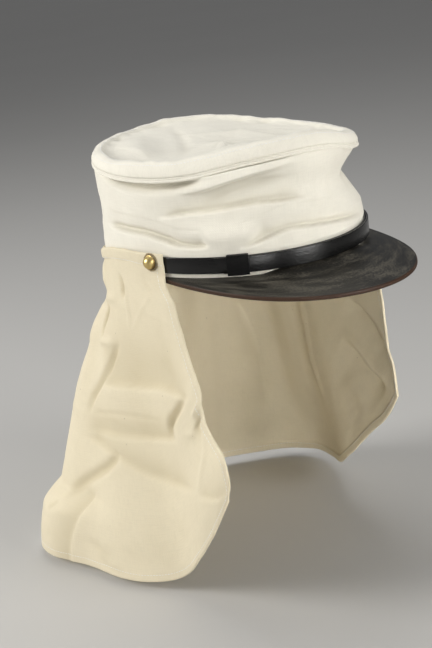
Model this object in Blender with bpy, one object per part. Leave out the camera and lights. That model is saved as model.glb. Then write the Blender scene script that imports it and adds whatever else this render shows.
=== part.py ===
"""Cotton kepi with a leather peak, a chin strap on brass buttons and a neck curtain.

The head opening's centre, level with the lower edge of the side wall, is the origin.
The front looks along -Y, the wearer's left is +X and up is +Z. All lengths are metres.
A turn is an angle round the head opening: 0 at the front, growing to the wearer's right.
"""
import math
from functools import lru_cache
from typing import NamedTuple

import bmesh
import bpy
from mathutils import Vector

# Head opening and crown
RIM_HALF_LENGTH = 0.1017
RIM_HALF_WIDTH = 0.0880
CROWN_CLOTH = 0.0018
CROWN_HEIGHT = 0.0755
FOLD_DEPTH = 0.0110
SEAM_BULGE = 0.0006
WELT_HEIGHT = 0.0030
WELT_THICKNESS = 0.0024
WELT_PROUD_SHARE = 0.25
BORDER_RISE = 0.0092
TOP_FOLD_DEPTH = 0.0020

# Peak
PEAK_DEPTH = 0.0545
PEAK_DROP = 0.0081
PEAK_LEATHER = 0.0028
PEAK_ROOT = 0.0022
PEAK_END_INSET = 0.0032
PEAK_END_SETBACK = 0.0300
PEAK_FULLNESS = 0.035
PEAK_END_SHARE = 0.985
PEAK_ARCH = 0.30

# Chin strap, its keeper and the side buttons
STRAP_LOW = 0.0033
STRAP_WIDTH = 0.0111
STRAP_LEATHER = 0.0016
STRAP_FREE_END_TURN = 46.0
STRAP_FREE_END_SLANT = 3.6
STRAP_TAIL_LENGTH = 0.0075
STRAP_TAIL_EASE = 15.0
KEEPER_TURN = 38.5
KEEPER_LENGTH = 0.0140
KEEPER_LEATHER = 0.0013
BUTTON_TURN = 75.0
BUTTON_RISE = 0.0022
BUTTON_RADIUS = 0.0050
BUTTON_DOME = 0.0042
BUTTON_SKIRT = 0.0010
BUTTON_POST_RADIUS = 0.0012
BUTTON_FLANGE_RADIUS = 0.0034
BUTTON_FLANGE_THICKNESS = 0.0008
BUTTON_SEAT_SHARE = 0.92

# Neck curtain
CURTAIN_CLOTH = 0.0012
CURTAIN_HEM = 0.0019
CURTAIN_EDGE_TURN = 69.2
CURTAIN_OVER_STRAP = 0.0026
CURTAIN_SAG = 0.0135
CURTAIN_DROP = 0.2310
CURTAIN_SIDE_FLARE = 0.0480
CURTAIN_BACK_FLARE = 0.0543
CURTAIN_FRONT_FLARE = 0.0058
CURTAIN_WAVE = 0.0050
CURTAIN_WAVES = 5.5
CURTAIN_DENT = 0.0080
CURTAIN_FRONT_STATION = 0.055
CURTAIN_HEM_STATION = 0.012

# Space left between pieces that touch, and the share of a band's side that its soft edge takes
GAP = 0.0003
SOFT_EDGE_SHARE = 0.25

# How finely the cloth and leather are divided
AROUND_CROWN = 60
AROUND_CURTAIN = 46
ALONG_STRAP = 36
ALONG_PEAK = 26
ALONG_KEEPER = 4
BUTTON_SIDES = 14
PEAK_SEARCH_STEPS = 240

# Places of the rows of points: up the side wall, across the peak and down the curtain
CROWN_ROWS = (0.0, 0.11, 0.22, 0.31, 0.40, 0.49, 0.58, 0.67, 0.76, 0.85, 0.94, 1.0)
PEAK_ROWS = (0.0, 0.10, 0.32, 0.56, 0.80, 1.0)
CURTAIN_ROWS = (
    0.0, 0.035, 0.06, 0.085, 0.12, 0.17, 0.22, 0.28, 0.35, 0.42, 0.50, 0.59, 0.68, 0.755,
    0.785, 0.82, 0.89, 0.968, 1.0,
)
CURTAIN_HEM_ROWS = 3

# Shares of the side wall's height over which the folds fade and the bulge grows
FOLD_FADE = (0.76, 0.90)
BULGE_GROWTH = (0.50, 0.90)

# Shares of the top's radius over which its gathers fade into the border
GATHER_FADE = (0.80, 0.88)

# Stations from the curtain's front edge over which the hang of the back takes over, and
# turns behind the buttons over which its upper edge sags
BACK_HANG = (0.02, 0.20)
SAG_TURNS = (88.0, 146.0)

# Angles up the button's dome, in degrees
DOME_ANGLES = (22.0, 42.0, 60.0, 76.0)


class SeamRow(NamedTuple):
    """The seam round the top: its height as a share of the crown's height, and how far
    the border's crest stands over it, as a share of the border's rise.
    """
    turn: float
    height: float
    crest: float


SEAM = (
    SeamRow(0, 1.030, 1.00), SeamRow(30, 1.000, 1.05), SeamRow(60, 0.905, 1.05),
    SeamRow(90, 0.895, 0.95), SeamRow(120, 0.932, 0.72), SeamRow(150, 0.968, 0.68),
    SeamRow(180, 0.992, 0.68), SeamRow(210, 1.000, 0.68), SeamRow(240, 0.930, 0.68),
    SeamRow(270, 0.895, 0.70), SeamRow(300, 0.880, 0.72), SeamRow(330, 0.930, 0.90),
)


class Fold(NamedTuple):
    """A crease or swelling of the side wall, drawn from one end to the other.

    Heights and the reach are shares of the crown's height. The depth is a share of the
    fold depth, and a crease that runs inwards is negative.
    """
    turn_a: float
    height_a: float
    turn_b: float
    height_b: float
    reach: float
    depth: float


CROWN_FOLDS = (
    # the deep pinch at the front, and the creases that spread from it to the right side
    Fold(-76, 0.65, -12, 0.63, 0.150, -1.04),
    Fold(-14, 0.62, 67, 0.52, 0.070, -0.32),
    Fold(12, 0.93, 52, 0.76, 0.058, -0.36),
    Fold(-8, 0.46, 34, 0.28, 0.055, -0.30),
    # the swelling over the strap, and the crease at the right side
    Fold(16, 0.36, 58, 0.34, 0.090, 0.20),
    Fold(98, 0.44, 56, 0.30, 0.050, -0.30),
    Fold(100, 0.92, 44, 0.83, 0.050, -0.22),
    # soft creases of the left side and the back
    Fold(-100, 0.70, -58, 0.58, 0.080, -0.34),
    Fold(-128, 0.36, -76, 0.42, 0.070, -0.30),
    Fold(138, 0.62, 184, 0.52, 0.080, -0.26),
    Fold(196, 0.36, 226, 0.50, 0.070, -0.24),
)


class BorderRow(NamedTuple):
    """Section of the top, from its seam to its middle, as shares of radius and rise."""
    radius: float
    rise: float


TOP_SECTION = (
    BorderRow(1.000, 0.00), BorderRow(1.004, 0.36), BorderRow(0.985, 0.80),
    BorderRow(0.945, 1.00), BorderRow(0.915, 0.92), BorderRow(0.885, 0.57),
    BorderRow(0.700, 0.30), BorderRow(0.470, 0.16), BorderRow(0.220, 0.08),
)


class TopFold(NamedTuple):
    """A gather across the top: its ends as shares of the rim's half sizes, and its depth."""
    x_a: float
    y_a: float
    x_b: float
    y_b: float
    reach: float
    depth: float


TOP_FOLDS = (
    TopFold(0.60, -0.50, -0.10, 0.58, 0.110, -0.90),
    TopFold(0.36, -0.70, -0.52, 0.16, 0.100, -0.90),
    TopFold(-0.56, 0.32, -0.22, 0.62, 0.240, 1.20),
)


class HemRow(NamedTuple):
    """Lower edge of the curtain at a station from the right front edge to the left one.

    x is a share of the half width of the spread curtain, y of its reach behind and z of
    its drop.
    """
    station: float
    x: float
    y: float
    z: float


CURTAIN_LOWER_EDGE = (
    HemRow(0.000, -0.680, -0.615, -0.612), HemRow(0.044, -0.713, -0.480, -0.742),
    HemRow(0.093, -0.713, -0.315, -0.868), HemRow(0.135, -0.700, -0.160, -0.961),
    HemRow(0.170, -0.765, 0.000, -0.995), HemRow(0.212, -0.862, 0.195, -1.000),
    HemRow(0.254, -0.930, 0.400, -1.000), HemRow(0.303, -1.000, 0.645, -1.000),
    HemRow(0.350, -0.875, 0.835, -0.996), HemRow(0.410, -0.530, 0.945, -0.992),
    HemRow(0.500, 0.000, 1.000, -0.990), HemRow(0.590, 0.520, 0.940, -0.990),
    HemRow(0.650, 0.850, 0.810, -0.990), HemRow(0.700, 0.955, 0.620, -0.988),
    HemRow(0.750, 0.900, 0.400, -0.970), HemRow(0.800, 0.800, 0.190, -0.925),
    HemRow(0.850, 0.715, 0.020, -0.850), HemRow(0.900, 0.665, -0.165, -0.742),
    HemRow(0.950, 0.642, -0.345, -0.645), HemRow(1.000, 0.592, -0.425, -0.560),
)


class SpreadRow(NamedTuple):
    """How far a rib of the curtain has spread at a share of its drop."""
    drop: float
    spread: float


SPREAD_AT_BACK = (
    SpreadRow(0.000, 0.000), SpreadRow(0.090, 0.015), SpreadRow(0.165, 0.045),
    SpreadRow(0.250, 0.230), SpreadRow(0.320, 0.295), SpreadRow(0.400, 0.400),
    SpreadRow(0.500, 0.500), SpreadRow(0.610, 0.580), SpreadRow(0.755, 0.690),
    SpreadRow(0.785, 0.750), SpreadRow(0.815, 0.870), SpreadRow(0.840, 0.930),
    SpreadRow(0.900, 0.970), SpreadRow(1.000, 1.000),
)
SPREAD_AT_RIGHT = (
    SpreadRow(0.000, 0.000), SpreadRow(0.090, 0.060), SpreadRow(0.165, 0.250),
    SpreadRow(0.264, 0.320), SpreadRow(0.360, 0.420), SpreadRow(0.455, 0.540),
    SpreadRow(0.550, 0.660), SpreadRow(0.610, 0.650), SpreadRow(0.680, 0.680),
    SpreadRow(0.755, 0.900), SpreadRow(0.815, 1.030), SpreadRow(0.900, 1.060),
    SpreadRow(1.000, 1.000),
)
SPREAD_AT_LEFT = (
    SpreadRow(0.000, 0.000), SpreadRow(0.110, 0.050), SpreadRow(0.300, 0.330),
    SpreadRow(0.600, 0.600), SpreadRow(0.680, 0.640), SpreadRow(0.750, 0.720),
    SpreadRow(0.820, 0.900), SpreadRow(0.900, 0.990), SpreadRow(1.000, 1.000),
)


class CurtainFold(NamedTuple):
    """A crease of the curtain between two places, given as station and share of drop."""
    station_a: float
    drop_a: float
    station_b: float
    drop_b: float
    reach: float
    depth: float


CURTAIN_FOLDS = (
    # the tuck down the right side, and the dents above the front corner
    CurtainFold(0.145, 0.14, 0.235, 0.78, 0.020, -0.60),
    CurtainFold(0.020, 0.72, 0.090, 0.66, 0.032, -0.75),
    CurtainFold(0.100, 0.78, 0.230, 0.70, 0.034, -0.55),
    CurtainFold(0.190, 0.80, 0.300, 0.86, 0.030, -0.50),
    # soft folds of the back and the left side
    CurtainFold(0.400, 0.20, 0.430, 0.95, 0.030, -0.80),
    CurtainFold(0.585, 0.18, 0.565, 0.96, 0.030, -0.85),
    CurtainFold(0.730, 0.16, 0.715, 0.80, 0.028, -0.65),
    CurtainFold(0.975, 0.42, 0.900, 0.62, 0.030, -0.55),
)

WHITE_COTTON = ((0.86, 0.84, 0.78, 1.0), 0.92, 0.0)
CREAM_COTTON = ((0.80, 0.73, 0.56, 1.0), 0.94, 0.0)
BLACK_LEATHER = ((0.018, 0.017, 0.016, 1.0), 0.45, 0.0)
GLOSSY_LEATHER = ((0.006, 0.006, 0.006, 1.0), 0.18, 0.0)
OLD_BRASS = ((0.72, 0.53, 0.24, 1.0), 0.30, 1.0)


def material(name, finish):
    """Return the named material, making it once from colour, roughness and metallic."""
    found = bpy.data.materials.get(name)
    if found is None:
        found = bpy.data.materials.new(name)
        found.use_nodes = True
        shader = found.node_tree.nodes["Principled BSDF"]
        colour, roughness, metallic = finish
        shader.inputs["Base Color"].default_value = colour
        shader.inputs["Roughness"].default_value = roughness
        shader.inputs["Metallic"].default_value = metallic
    return found


def smooth_step(low, high, value):
    """Rise smoothly from 0 at low to 1 at high."""
    share = min(1.0, max(0.0, (value - low) / (high - low)))
    return share * share * (3.0 - 2.0 * share)


def curve_through(before, start, end, after, share):
    """Catmull-Rom value between start and end."""
    slope_a = (end - before) / 2.0
    slope_b = (after - start) / 2.0
    cubic = 2.0 * (start - end) + slope_a + slope_b
    square = 3.0 * (end - start) - 2.0 * slope_a - slope_b
    return ((cubic * share + square) * share + slope_a) * share + start


def read_table(rows, key, column, place):
    """Read a table's column at a place, on a smooth curve through its rows."""
    last = len(rows) - 1
    index = 0
    while index < last - 1 and place > getattr(rows[index + 1], key):
        index += 1
    start_place = getattr(rows[index], key)
    end_place = getattr(rows[index + 1], key)
    share = min(1.0, max(0.0, (place - start_place) / (end_place - start_place)))
    values = [getattr(rows[min(last, max(0, index + step))], column) for step in (-1, 0, 1, 2)]
    return curve_through(*values, share)


def around_seam(turn, column):
    """Share in one column of the seam's table at a turn, on a smooth closed curve."""
    place = turn % 360.0
    count = len(SEAM)
    index = max(row for row in range(count) if SEAM[row].turn <= place)
    start = SEAM[index].turn
    end = SEAM[index + 1].turn if index + 1 < count else SEAM[0].turn + 360.0
    values = [getattr(SEAM[(index + shift) % count], column) for shift in (-1, 0, 1, 2)]
    return curve_through(*values, (place - start) / (end - start))


def seam_height(turn):
    """Height of the top seam at a turn."""
    return CROWN_HEIGHT * around_seam(turn, "height")


def rim_point(turn, offset, height):
    """Point at a turn, an offset outwards from the rim's oval, and a height."""
    angle = math.radians(turn)
    normal = rim_normal(turn)
    across = -RIM_HALF_WIDTH * math.sin(angle)
    along = -RIM_HALF_LENGTH * math.cos(angle)
    return Vector((across, along, height)) + normal * offset


def rim_normal(turn):
    """Outward level direction of the rim's oval at a turn."""
    angle = math.radians(turn)
    across = -math.sin(angle) / RIM_HALF_WIDTH
    along = -math.cos(angle) / RIM_HALF_LENGTH
    return Vector((across, along, 0.0)).normalized()


def turn_for_length(turn, length):
    """Turn covered by a length along the oval, near a turn."""
    angle = math.radians(turn)
    speed = math.hypot(RIM_HALF_WIDTH * math.cos(angle), RIM_HALF_LENGTH * math.sin(angle))
    return math.degrees(length / speed)


def crease(across, along, ends, reach):
    """Strength of a crease at a place: 1 on its line, fading out over the reach."""
    (across_a, along_a), (across_b, along_b) = ends
    run = (across_b - across_a, along_b - along_a)
    length = run[0] ** 2 + run[1] ** 2
    share = ((across - across_a) * run[0] + (along - along_a) * run[1]) / length
    share = min(1.0, max(0.0, share))
    distance = math.hypot(across - across_a - share * run[0], along - along_a - share * run[1])
    return math.exp(-((distance / reach) ** 2))


def near_turn(turn, middle):
    """The same turn, written within half a circle of another one."""
    return middle + (turn - middle + 180.0) % 360.0 - 180.0


def wall_offset(turn, height):
    """How far the side wall stands out of the rim's oval."""
    share = height / seam_height(turn)
    radius = (RIM_HALF_LENGTH + RIM_HALF_WIDTH) / 2.0
    total = 0.0
    for fold in CROWN_FOLDS:
        middle = (fold.turn_a + fold.turn_b) / 2.0
        arc = math.radians(near_turn(turn, middle) - middle) * radius
        arc_a = math.radians(fold.turn_a - middle) * radius
        arc_b = math.radians(fold.turn_b - middle) * radius
        ends = ((arc_a, fold.height_a * CROWN_HEIGHT), (arc_b, fold.height_b * CROWN_HEIGHT))
        total += fold.depth * crease(arc, height, ends, fold.reach * CROWN_HEIGHT)
    strap_top = STRAP_LOW + STRAP_WIDTH
    over_strap = smooth_step(strap_top, strap_top + STRAP_WIDTH, height)
    under_seam = 1.0 - smooth_step(*FOLD_FADE, share)
    bulge = SEAM_BULGE * smooth_step(*BULGE_GROWTH, share)
    return FOLD_DEPTH * total * over_strap * under_seam + bulge


def new_object(name, mesh, finish_name, finish):
    """Put a mesh in the scene as an object with its own material."""
    piece = bpy.data.objects.new(name, mesh)
    piece.data.materials.append(material(finish_name, finish))
    bpy.context.collection.objects.link(piece)
    return piece


def shade_round(piece, crease_angle=50.0):
    """Shade a piece smooth, but for its sharp edges."""
    piece.data.shade_smooth()
    piece.data.set_sharp_from_angle(angle=math.radians(crease_angle))


def sheet_mesh(name, rows, closed):
    """Mesh of one skin from rows of points; closed joins each row's end to its start."""
    mesh = bpy.data.meshes.new(name)
    points = [tuple(point) for row in rows for point in row]
    width = len(rows[0])
    faces = []
    columns = width if closed else width - 1
    for row in range(len(rows) - 1):
        for column in range(columns):
            after = (column + 1) % width
            low = row * width
            high = low + width
            faces.append((low + column, low + after, high + after, high + column))
    mesh.from_pydata(points, [], faces)
    mesh.update()
    return mesh


def thicken(piece, thickness):
    """Give a skin its wall, on its inner side."""
    wall = piece.modifiers.new("wall", "SOLIDIFY")
    wall.thickness = thickness
    wall.offset = -1.0
    wall.use_even_offset = True
    wall.use_quality_normals = True
    return wall


def swept_solid(name, sections, closed):
    """Closed solid through sections of equal point count, capped unless it is a ring."""
    width = len(sections[0])
    shape = bmesh.new()
    rings = [[shape.verts.new(point) for point in section] for section in sections]
    count = len(rings)
    for index in range(count if closed else count - 1):
        here = rings[index]
        after = rings[(index + 1) % count]
        for side in range(width):
            step = (side + 1) % width
            shape.faces.new((here[side], here[step], after[step], after[side]))
    if not closed:
        shape.faces.new(list(reversed(rings[0])))
        shape.faces.new(rings[-1])
    bmesh.ops.recalc_face_normals(shape, faces=shape.faces)
    mesh = bpy.data.meshes.new(name)
    shape.to_mesh(mesh)
    shape.free()
    return mesh


def band_section(turn, inner, outer, low, high, softening, skew=0.0):
    """Section of a flat band across the rim's oval, with softened outer edges.

    skew turns the section's upper edge further round than its lower edge.
    """
    middle = (low + high) / 2.0
    places = (
        (inner, low), (outer - softening, low), (outer, low + softening),
        (outer, high - softening), (outer - softening, high), (inner, high),
    )
    section = []
    for offset, height in places:
        lean = skew * (height - middle) / (high - low)
        section.append(rim_point(turn + lean, offset, height))
    return section


def build_crown_side():
    """Side wall of the crown, a hollow cotton tube with the photo's folds."""
    rows = []
    for share in CROWN_ROWS:
        row = []
        for step in range(AROUND_CROWN):
            turn = -360.0 * step / AROUND_CROWN
            height = share * (seam_height(turn) - WELT_HEIGHT - 2.0 * GAP)
            row.append(rim_point(turn, wall_offset(turn, height), height))
        rows.append(row)
    mesh = sheet_mesh("crown_side", rows, closed=True)
    side = new_object("crown_side", mesh, "white_cotton", WHITE_COTTON)
    thicken(side, CROWN_CLOTH)
    shade_round(side)
    return side


def build_crown_welt():
    """Narrow folded welt in the seam between the side wall and the top."""
    outer = SEAM_BULGE + WELT_PROUD_SHARE * WELT_THICKNESS
    inner = outer - WELT_THICKNESS
    softening = SOFT_EDGE_SHARE * WELT_HEIGHT
    sections = []
    for step in range(AROUND_CROWN):
        turn = 360.0 * step / AROUND_CROWN
        high = seam_height(turn) - GAP
        sections.append(band_section(turn, inner, outer, high - WELT_HEIGHT, high, softening))
    mesh = swept_solid("crown_welt", sections, closed=True)
    welt = new_object("crown_welt", mesh, "white_cotton", WHITE_COTTON)
    shade_round(welt)
    return welt


def top_height(turn, radius, rise):
    """Height of the top at a share of the radius: the seam's at its edge, level within."""
    level = CROWN_HEIGHT * sum(row.height for row in SEAM) / len(SEAM)
    x = -radius * math.sin(math.radians(turn))
    y = -radius * math.cos(math.radians(turn))
    folds = 0.0
    for fold in TOP_FOLDS:
        folds += fold.depth * crease(x, y, ((fold.x_a, fold.y_a), (fold.x_b, fold.y_b)), fold.reach)
    inside = 1.0 - smooth_step(*GATHER_FADE, radius)
    edge = level + (seam_height(turn) - level) * smooth_step(0.0, GATHER_FADE[1], radius)
    crest = BORDER_RISE * around_seam(turn, "crest")
    return edge + crest * rise + TOP_FOLD_DEPTH * folds * inside


def build_crown_top():
    """Top of the crown: a rounded, raised border round a sunken, gathered disc."""
    rows = []
    for border in TOP_SECTION:
        row = []
        for step in range(AROUND_CROWN):
            turn = -360.0 * step / AROUND_CROWN
            edge = rim_point(turn, SEAM_BULGE, 0.0)
            height = top_height(turn, border.radius, border.rise)
            row.append(Vector((edge.x * border.radius, edge.y * border.radius, height)))
        rows.append(row)
    mesh = sheet_mesh("crown_top", rows, closed=True)
    shape = bmesh.new()
    shape.from_mesh(mesh)
    shape.verts.ensure_lookup_table()
    first = (len(TOP_SECTION) - 1) * AROUND_CROWN
    inner = [shape.verts[first + step] for step in range(AROUND_CROWN)]
    middle = shape.verts.new((0.0, 0.0, top_height(0.0, 0.0, 0.0)))
    for step in range(AROUND_CROWN):
        shape.faces.new((inner[step], inner[(step + 1) % AROUND_CROWN], middle))
    shape.to_mesh(mesh)
    shape.free()
    top = new_object("crown_top", mesh, "white_cotton", WHITE_COTTON)
    thicken(top, CROWN_CLOTH)
    shade_round(top)
    return top


def peak_edge(share):
    """Point of the peak's outer edge; the share runs from -1 at the left to 1 at the right."""
    angle = math.radians(90.0 * share)
    reach = RIM_HALF_LENGTH + PEAK_DEPTH - PEAK_END_SETBACK
    full = 1.0 + PEAK_FULLNESS * math.sin(2.0 * angle) ** 2
    return Vector((
        -(RIM_HALF_WIDTH - PEAK_END_INSET) * full * math.sin(angle),
        -PEAK_END_SETBACK - reach * full * math.cos(angle),
        -PEAK_DROP * math.cos(angle) - GAP,
    ))


@lru_cache(maxsize=None)
def peak_overhang(turn):
    """How far the peak reaches out of the rim's oval at a turn; nothing past its ends."""
    start = rim_point(turn, 0.0, 0.0)
    outwards = rim_normal(turn)
    best = (math.inf, 0.0)
    for step in range(PEAK_SEARCH_STEPS + 1):
        away = peak_edge(PEAK_END_SHARE * (2.0 * step / PEAK_SEARCH_STEPS - 1.0)) - start
        along = away.x * outwards.x + away.y * outwards.y
        across = abs(away.x * outwards.y - away.y * outwards.x)
        if along > 0.0:
            best = min(best, (across, along))
    return best[1] if best[0] < PEAK_LEATHER else 0.0


def build_peak():
    """Flat leather peak, seated under the rim of the side wall."""
    end_turn = math.degrees(math.acos(PEAK_END_SETBACK / RIM_HALF_LENGTH))
    rows = []
    for place in PEAK_ROWS:
        row = []
        for step in range(ALONG_PEAK + 1):
            share = PEAK_END_SHARE * (2.0 * step / ALONG_PEAK - 1.0)
            root = rim_point(share * end_turn, -PEAK_ROOT, -GAP)
            edge = peak_edge(share)
            point = root.lerp(edge, place)
            fall = max(0.0, place - PEAK_ROOT / PEAK_DEPTH)
            point.z = -GAP + (edge.z + GAP) * fall * (1.0 - PEAK_ARCH + PEAK_ARCH * fall)
            row.append(point)
        rows.append(row)
    mesh = sheet_mesh("peak", rows, closed=False)
    peak = new_object("peak", mesh, "peak_leather", BLACK_LEATHER)
    thicken(peak, PEAK_LEATHER)
    shade_round(peak)
    return peak


def strap_end_turn():
    """Turn at which the strap's fixed end stops, past its button."""
    return BUTTON_TURN + turn_for_length(BUTTON_TURN, STRAP_TAIL_LENGTH)


def build_strap(name, layer, right_turn, left_turn, right_slant):
    """One length of the chin strap, lying in the given layer on the side wall."""
    inner = GAP + layer * (STRAP_LEATHER + GAP)
    outer = inner + STRAP_LEATHER
    high = STRAP_LOW + STRAP_WIDTH
    sections = []
    for step in range(ALONG_STRAP + 1):
        share = step / ALONG_STRAP
        turn = right_turn + (left_turn - right_turn) * share
        slant = right_slant if step == 0 else 0.0
        softening = SOFT_EDGE_SHARE * STRAP_LEATHER
        sections.append(band_section(turn, inner, outer, STRAP_LOW, high, softening, slant))
    strap = new_object(name, swept_solid(name, sections, closed=False), "strap_leather", GLOSSY_LEATHER)
    shade_round(strap, 35.0)
    return strap


def build_keeper():
    """Leather loop that holds both lengths of the strap together."""
    reach = turn_for_length(KEEPER_TURN, KEEPER_LENGTH) / 2.0
    both = 2.0 * GAP + 2.0 * STRAP_LEATHER
    low = STRAP_LOW - GAP
    high = STRAP_LOW + STRAP_WIDTH + GAP
    inner = both + GAP
    outer = inner + KEEPER_LEATHER
    lip = KEEPER_LEATHER * (1.0 - SOFT_EDGE_SHARE)
    soft = lip * SOFT_EDGE_SHARE
    sections = []
    for step in range(ALONG_KEEPER + 1):
        turn = KEEPER_TURN - reach + 2.0 * reach * step / ALONG_KEEPER
        places = (
            (GAP, low), (GAP, low - lip), (outer - lip, low - lip), (outer, low - soft),
            (outer, high + soft), (outer - lip, high + lip), (GAP, high + lip), (GAP, high),
            (inner, high), (inner, low),
        )
        sections.append([rim_point(turn, offset, height) for offset, height in places])
    mesh = swept_solid("strap_keeper", sections, closed=False)
    keeper = new_object("strap_keeper", mesh, "keeper_leather", BLACK_LEATHER)
    shade_round(keeper, 35.0)
    return keeper


def strap_layers(turn):
    """Number of strap lengths under the curtain on the side of a turn."""
    return 1 if (turn % 360.0) < 180.0 else 2


def turn_on_side(turn):
    """Turn measured from the front on the nearer side."""
    return turn if turn <= 180.0 else 360.0 - turn


def curtain_stand_off(turn):
    """Offset of the curtain's inner side from the oval, over the strap's end or on the wall."""
    side_turn = turn_on_side(turn)
    tail = strap_end_turn()
    over_strap = GAP + strap_layers(turn) * (STRAP_LEATHER + GAP)
    past_tail = smooth_step(tail + turn_for_length(tail, CURTAIN_CLOTH), tail + STRAP_TAIL_EASE, side_turn)
    return over_strap + (GAP - over_strap) * past_tail


def curtain_upper_edge(turn):
    """Height of the curtain's upper edge, which sags behind the buttons."""
    sag = CURTAIN_SAG * smooth_step(*SAG_TURNS, turn_on_side(turn))
    return STRAP_LOW + STRAP_WIDTH + CURTAIN_OVER_STRAP - sag


def fold_strength(fold, station, drop):
    """Strength of a curtain fold at a place; the cloth is twice as wide as it is high."""
    ends = ((fold.station_a, fold.drop_a / 2.0), (fold.station_b, fold.drop_b / 2.0))
    return crease(station, drop / 2.0, ends, fold.reach)


def curtain_point(station, drop):
    """Point of the curtain's outer side at a station and a share of the drop there."""
    turn = CURTAIN_EDGE_TURN + (360.0 - 2.0 * CURTAIN_EDGE_TURN) * station
    half_spread = RIM_HALF_WIDTH + CURTAIN_SIDE_FLARE
    back_reach = RIM_HALF_LENGTH + CURTAIN_BACK_FLARE
    hem = Vector((
        half_spread * read_table(CURTAIN_LOWER_EDGE, "station", "x", station),
        back_reach * read_table(CURTAIN_LOWER_EDGE, "station", "y", station),
        CURTAIN_DROP * read_table(CURTAIN_LOWER_EDGE, "station", "z", station),
    ))
    upper = curtain_upper_edge(turn)
    height = upper + (hem.z - upper) * drop
    stand_off = curtain_stand_off(turn)
    top = rim_point(turn, stand_off + CURTAIN_HEM, 0.0)
    from_front = min(station, 1.0 - station)
    back = smooth_step(*BACK_HANG, from_front)
    front_table = SPREAD_AT_RIGHT if station < 0.5 else SPREAD_AT_LEFT
    spread_front = read_table(front_table, "drop", "spread", drop)
    spread_back = read_table(SPREAD_AT_BACK, "drop", "spread", drop)
    free = smooth_step(STRAP_LOW, -STRAP_WIDTH, height)
    spread = (spread_front + (spread_back - spread_front) * back) * free
    point = Vector((top.x + (hem.x - top.x) * spread, top.y + (hem.y - top.y) * spread, height))
    folds = sum(fold.depth * fold_strength(fold, station, drop) for fold in CURTAIN_FOLDS)
    wave = math.cos(2.0 * math.pi * CURTAIN_WAVES * station) * back * drop
    flare = CURTAIN_FRONT_FLARE * (1.0 - smooth_step(0.0, CURTAIN_FRONT_STATION, from_front))
    push = (CURTAIN_DENT * folds + CURTAIN_WAVE * wave + flare) * free
    clear_of_peak = max(0.0, peak_overhang(turn) + GAP - stand_off)
    over_peak = clear_of_peak * smooth_step(STRAP_LOW, 0.0, height)
    return point + rim_normal(turn) * max(push, over_peak)


def build_neck_curtain():
    """Cream curtain round the back and sides, hemmed at its edges."""
    stations = [0.0]
    inner_count = AROUND_CURTAIN - 2
    between_hems = 1.0 - 2.0 * CURTAIN_HEM_STATION
    for step in range(inner_count + 1):
        stations.append(CURTAIN_HEM_STATION + between_hems * step / inner_count)
    stations.append(1.0)
    rows = [[curtain_point(station, drop) for station in stations] for drop in CURTAIN_ROWS]
    mesh = sheet_mesh("neck_curtain", rows, closed=False)
    curtain = new_object("neck_curtain", mesh, "cream_cotton", CREAM_COTTON)
    hem = curtain.vertex_groups.new(name="hem")
    width = len(stations)
    last = len(CURTAIN_ROWS) - 1
    for row in range(len(CURTAIN_ROWS)):
        for column in range(width):
            on_hem = row < CURTAIN_HEM_ROWS or row == last or column in (0, width - 1)
            share = 1.0 if on_hem else CURTAIN_CLOTH / CURTAIN_HEM
            hem.add([row * width + column], share, "REPLACE")
    wall = thicken(curtain, CURTAIN_HEM)
    wall.vertex_group = hem.name
    shade_round(curtain)
    return curtain


def button_profile(stand_off):
    """Half section of a button: radius and distance out from the rim's oval."""
    inside = -CROWN_CLOTH - GAP
    seat = stand_off + CURTAIN_HEM + GAP
    profile = [
        (0.0, inside - BUTTON_FLANGE_THICKNESS),
        (BUTTON_FLANGE_RADIUS, inside - BUTTON_FLANGE_THICKNESS),
        (BUTTON_FLANGE_RADIUS, inside),
        (BUTTON_POST_RADIUS, inside),
        (BUTTON_POST_RADIUS, seat),
        (BUTTON_RADIUS * BUTTON_SEAT_SHARE, seat),
        (BUTTON_RADIUS, seat + SOFT_EDGE_SHARE * BUTTON_SKIRT),
        (BUTTON_RADIUS, seat + BUTTON_SKIRT),
    ]
    dome_radius = BUTTON_RADIUS * BUTTON_SEAT_SHARE
    dome_foot = seat + BUTTON_SKIRT
    for degrees in DOME_ANGLES:
        angle = math.radians(degrees)
        profile.append((dome_radius * math.cos(angle), dome_foot + BUTTON_DOME * math.sin(angle)))
    profile.append((0.0, dome_foot + BUTTON_DOME))
    return profile


def turned_mesh(name, profile, sides, place, outwards):
    """Closed turned solid from a half section, standing on a place and facing outwards."""
    across = outwards.cross(Vector((0.0, 0.0, 1.0))).normalized()
    upwards = across.cross(outwards)
    shape = bmesh.new()
    rings = []
    for radius, distance in profile:
        centre = place + outwards * distance
        if radius == 0.0:
            rings.append([shape.verts.new(centre)])
            continue
        ring = []
        for side in range(sides):
            angle = 2.0 * math.pi * side / sides
            spoke = across * math.cos(angle) + upwards * math.sin(angle)
            ring.append(shape.verts.new(centre + spoke * radius))
        rings.append(ring)
    for here, after in zip(rings, rings[1:]):
        for side in range(sides):
            step = (side + 1) % sides
            if len(here) == 1:
                shape.faces.new((here[0], after[step], after[side]))
            elif len(after) == 1:
                shape.faces.new((here[side], here[step], after[0]))
            else:
                shape.faces.new((here[side], here[step], after[step], after[side]))
    bmesh.ops.recalc_face_normals(shape, faces=shape.faces)
    mesh = bpy.data.meshes.new(name)
    shape.to_mesh(mesh)
    shape.free()
    return mesh


def button_height():
    """Height of the buttons' middles, a little above the strap's own middle."""
    return STRAP_LOW + STRAP_WIDTH / 2.0 + BUTTON_RISE


def build_button(name, turn):
    """Brass button whose post runs through the curtain, the strap and the side wall."""
    place = rim_point(turn, 0.0, button_height())
    profile = button_profile(curtain_stand_off(turn % 360.0))
    mesh = turned_mesh(name, profile, BUTTON_SIDES, place, rim_normal(turn))
    button = new_object(name, mesh, "old_brass", OLD_BRASS)
    shade_round(button, 40.0)
    return button


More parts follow.
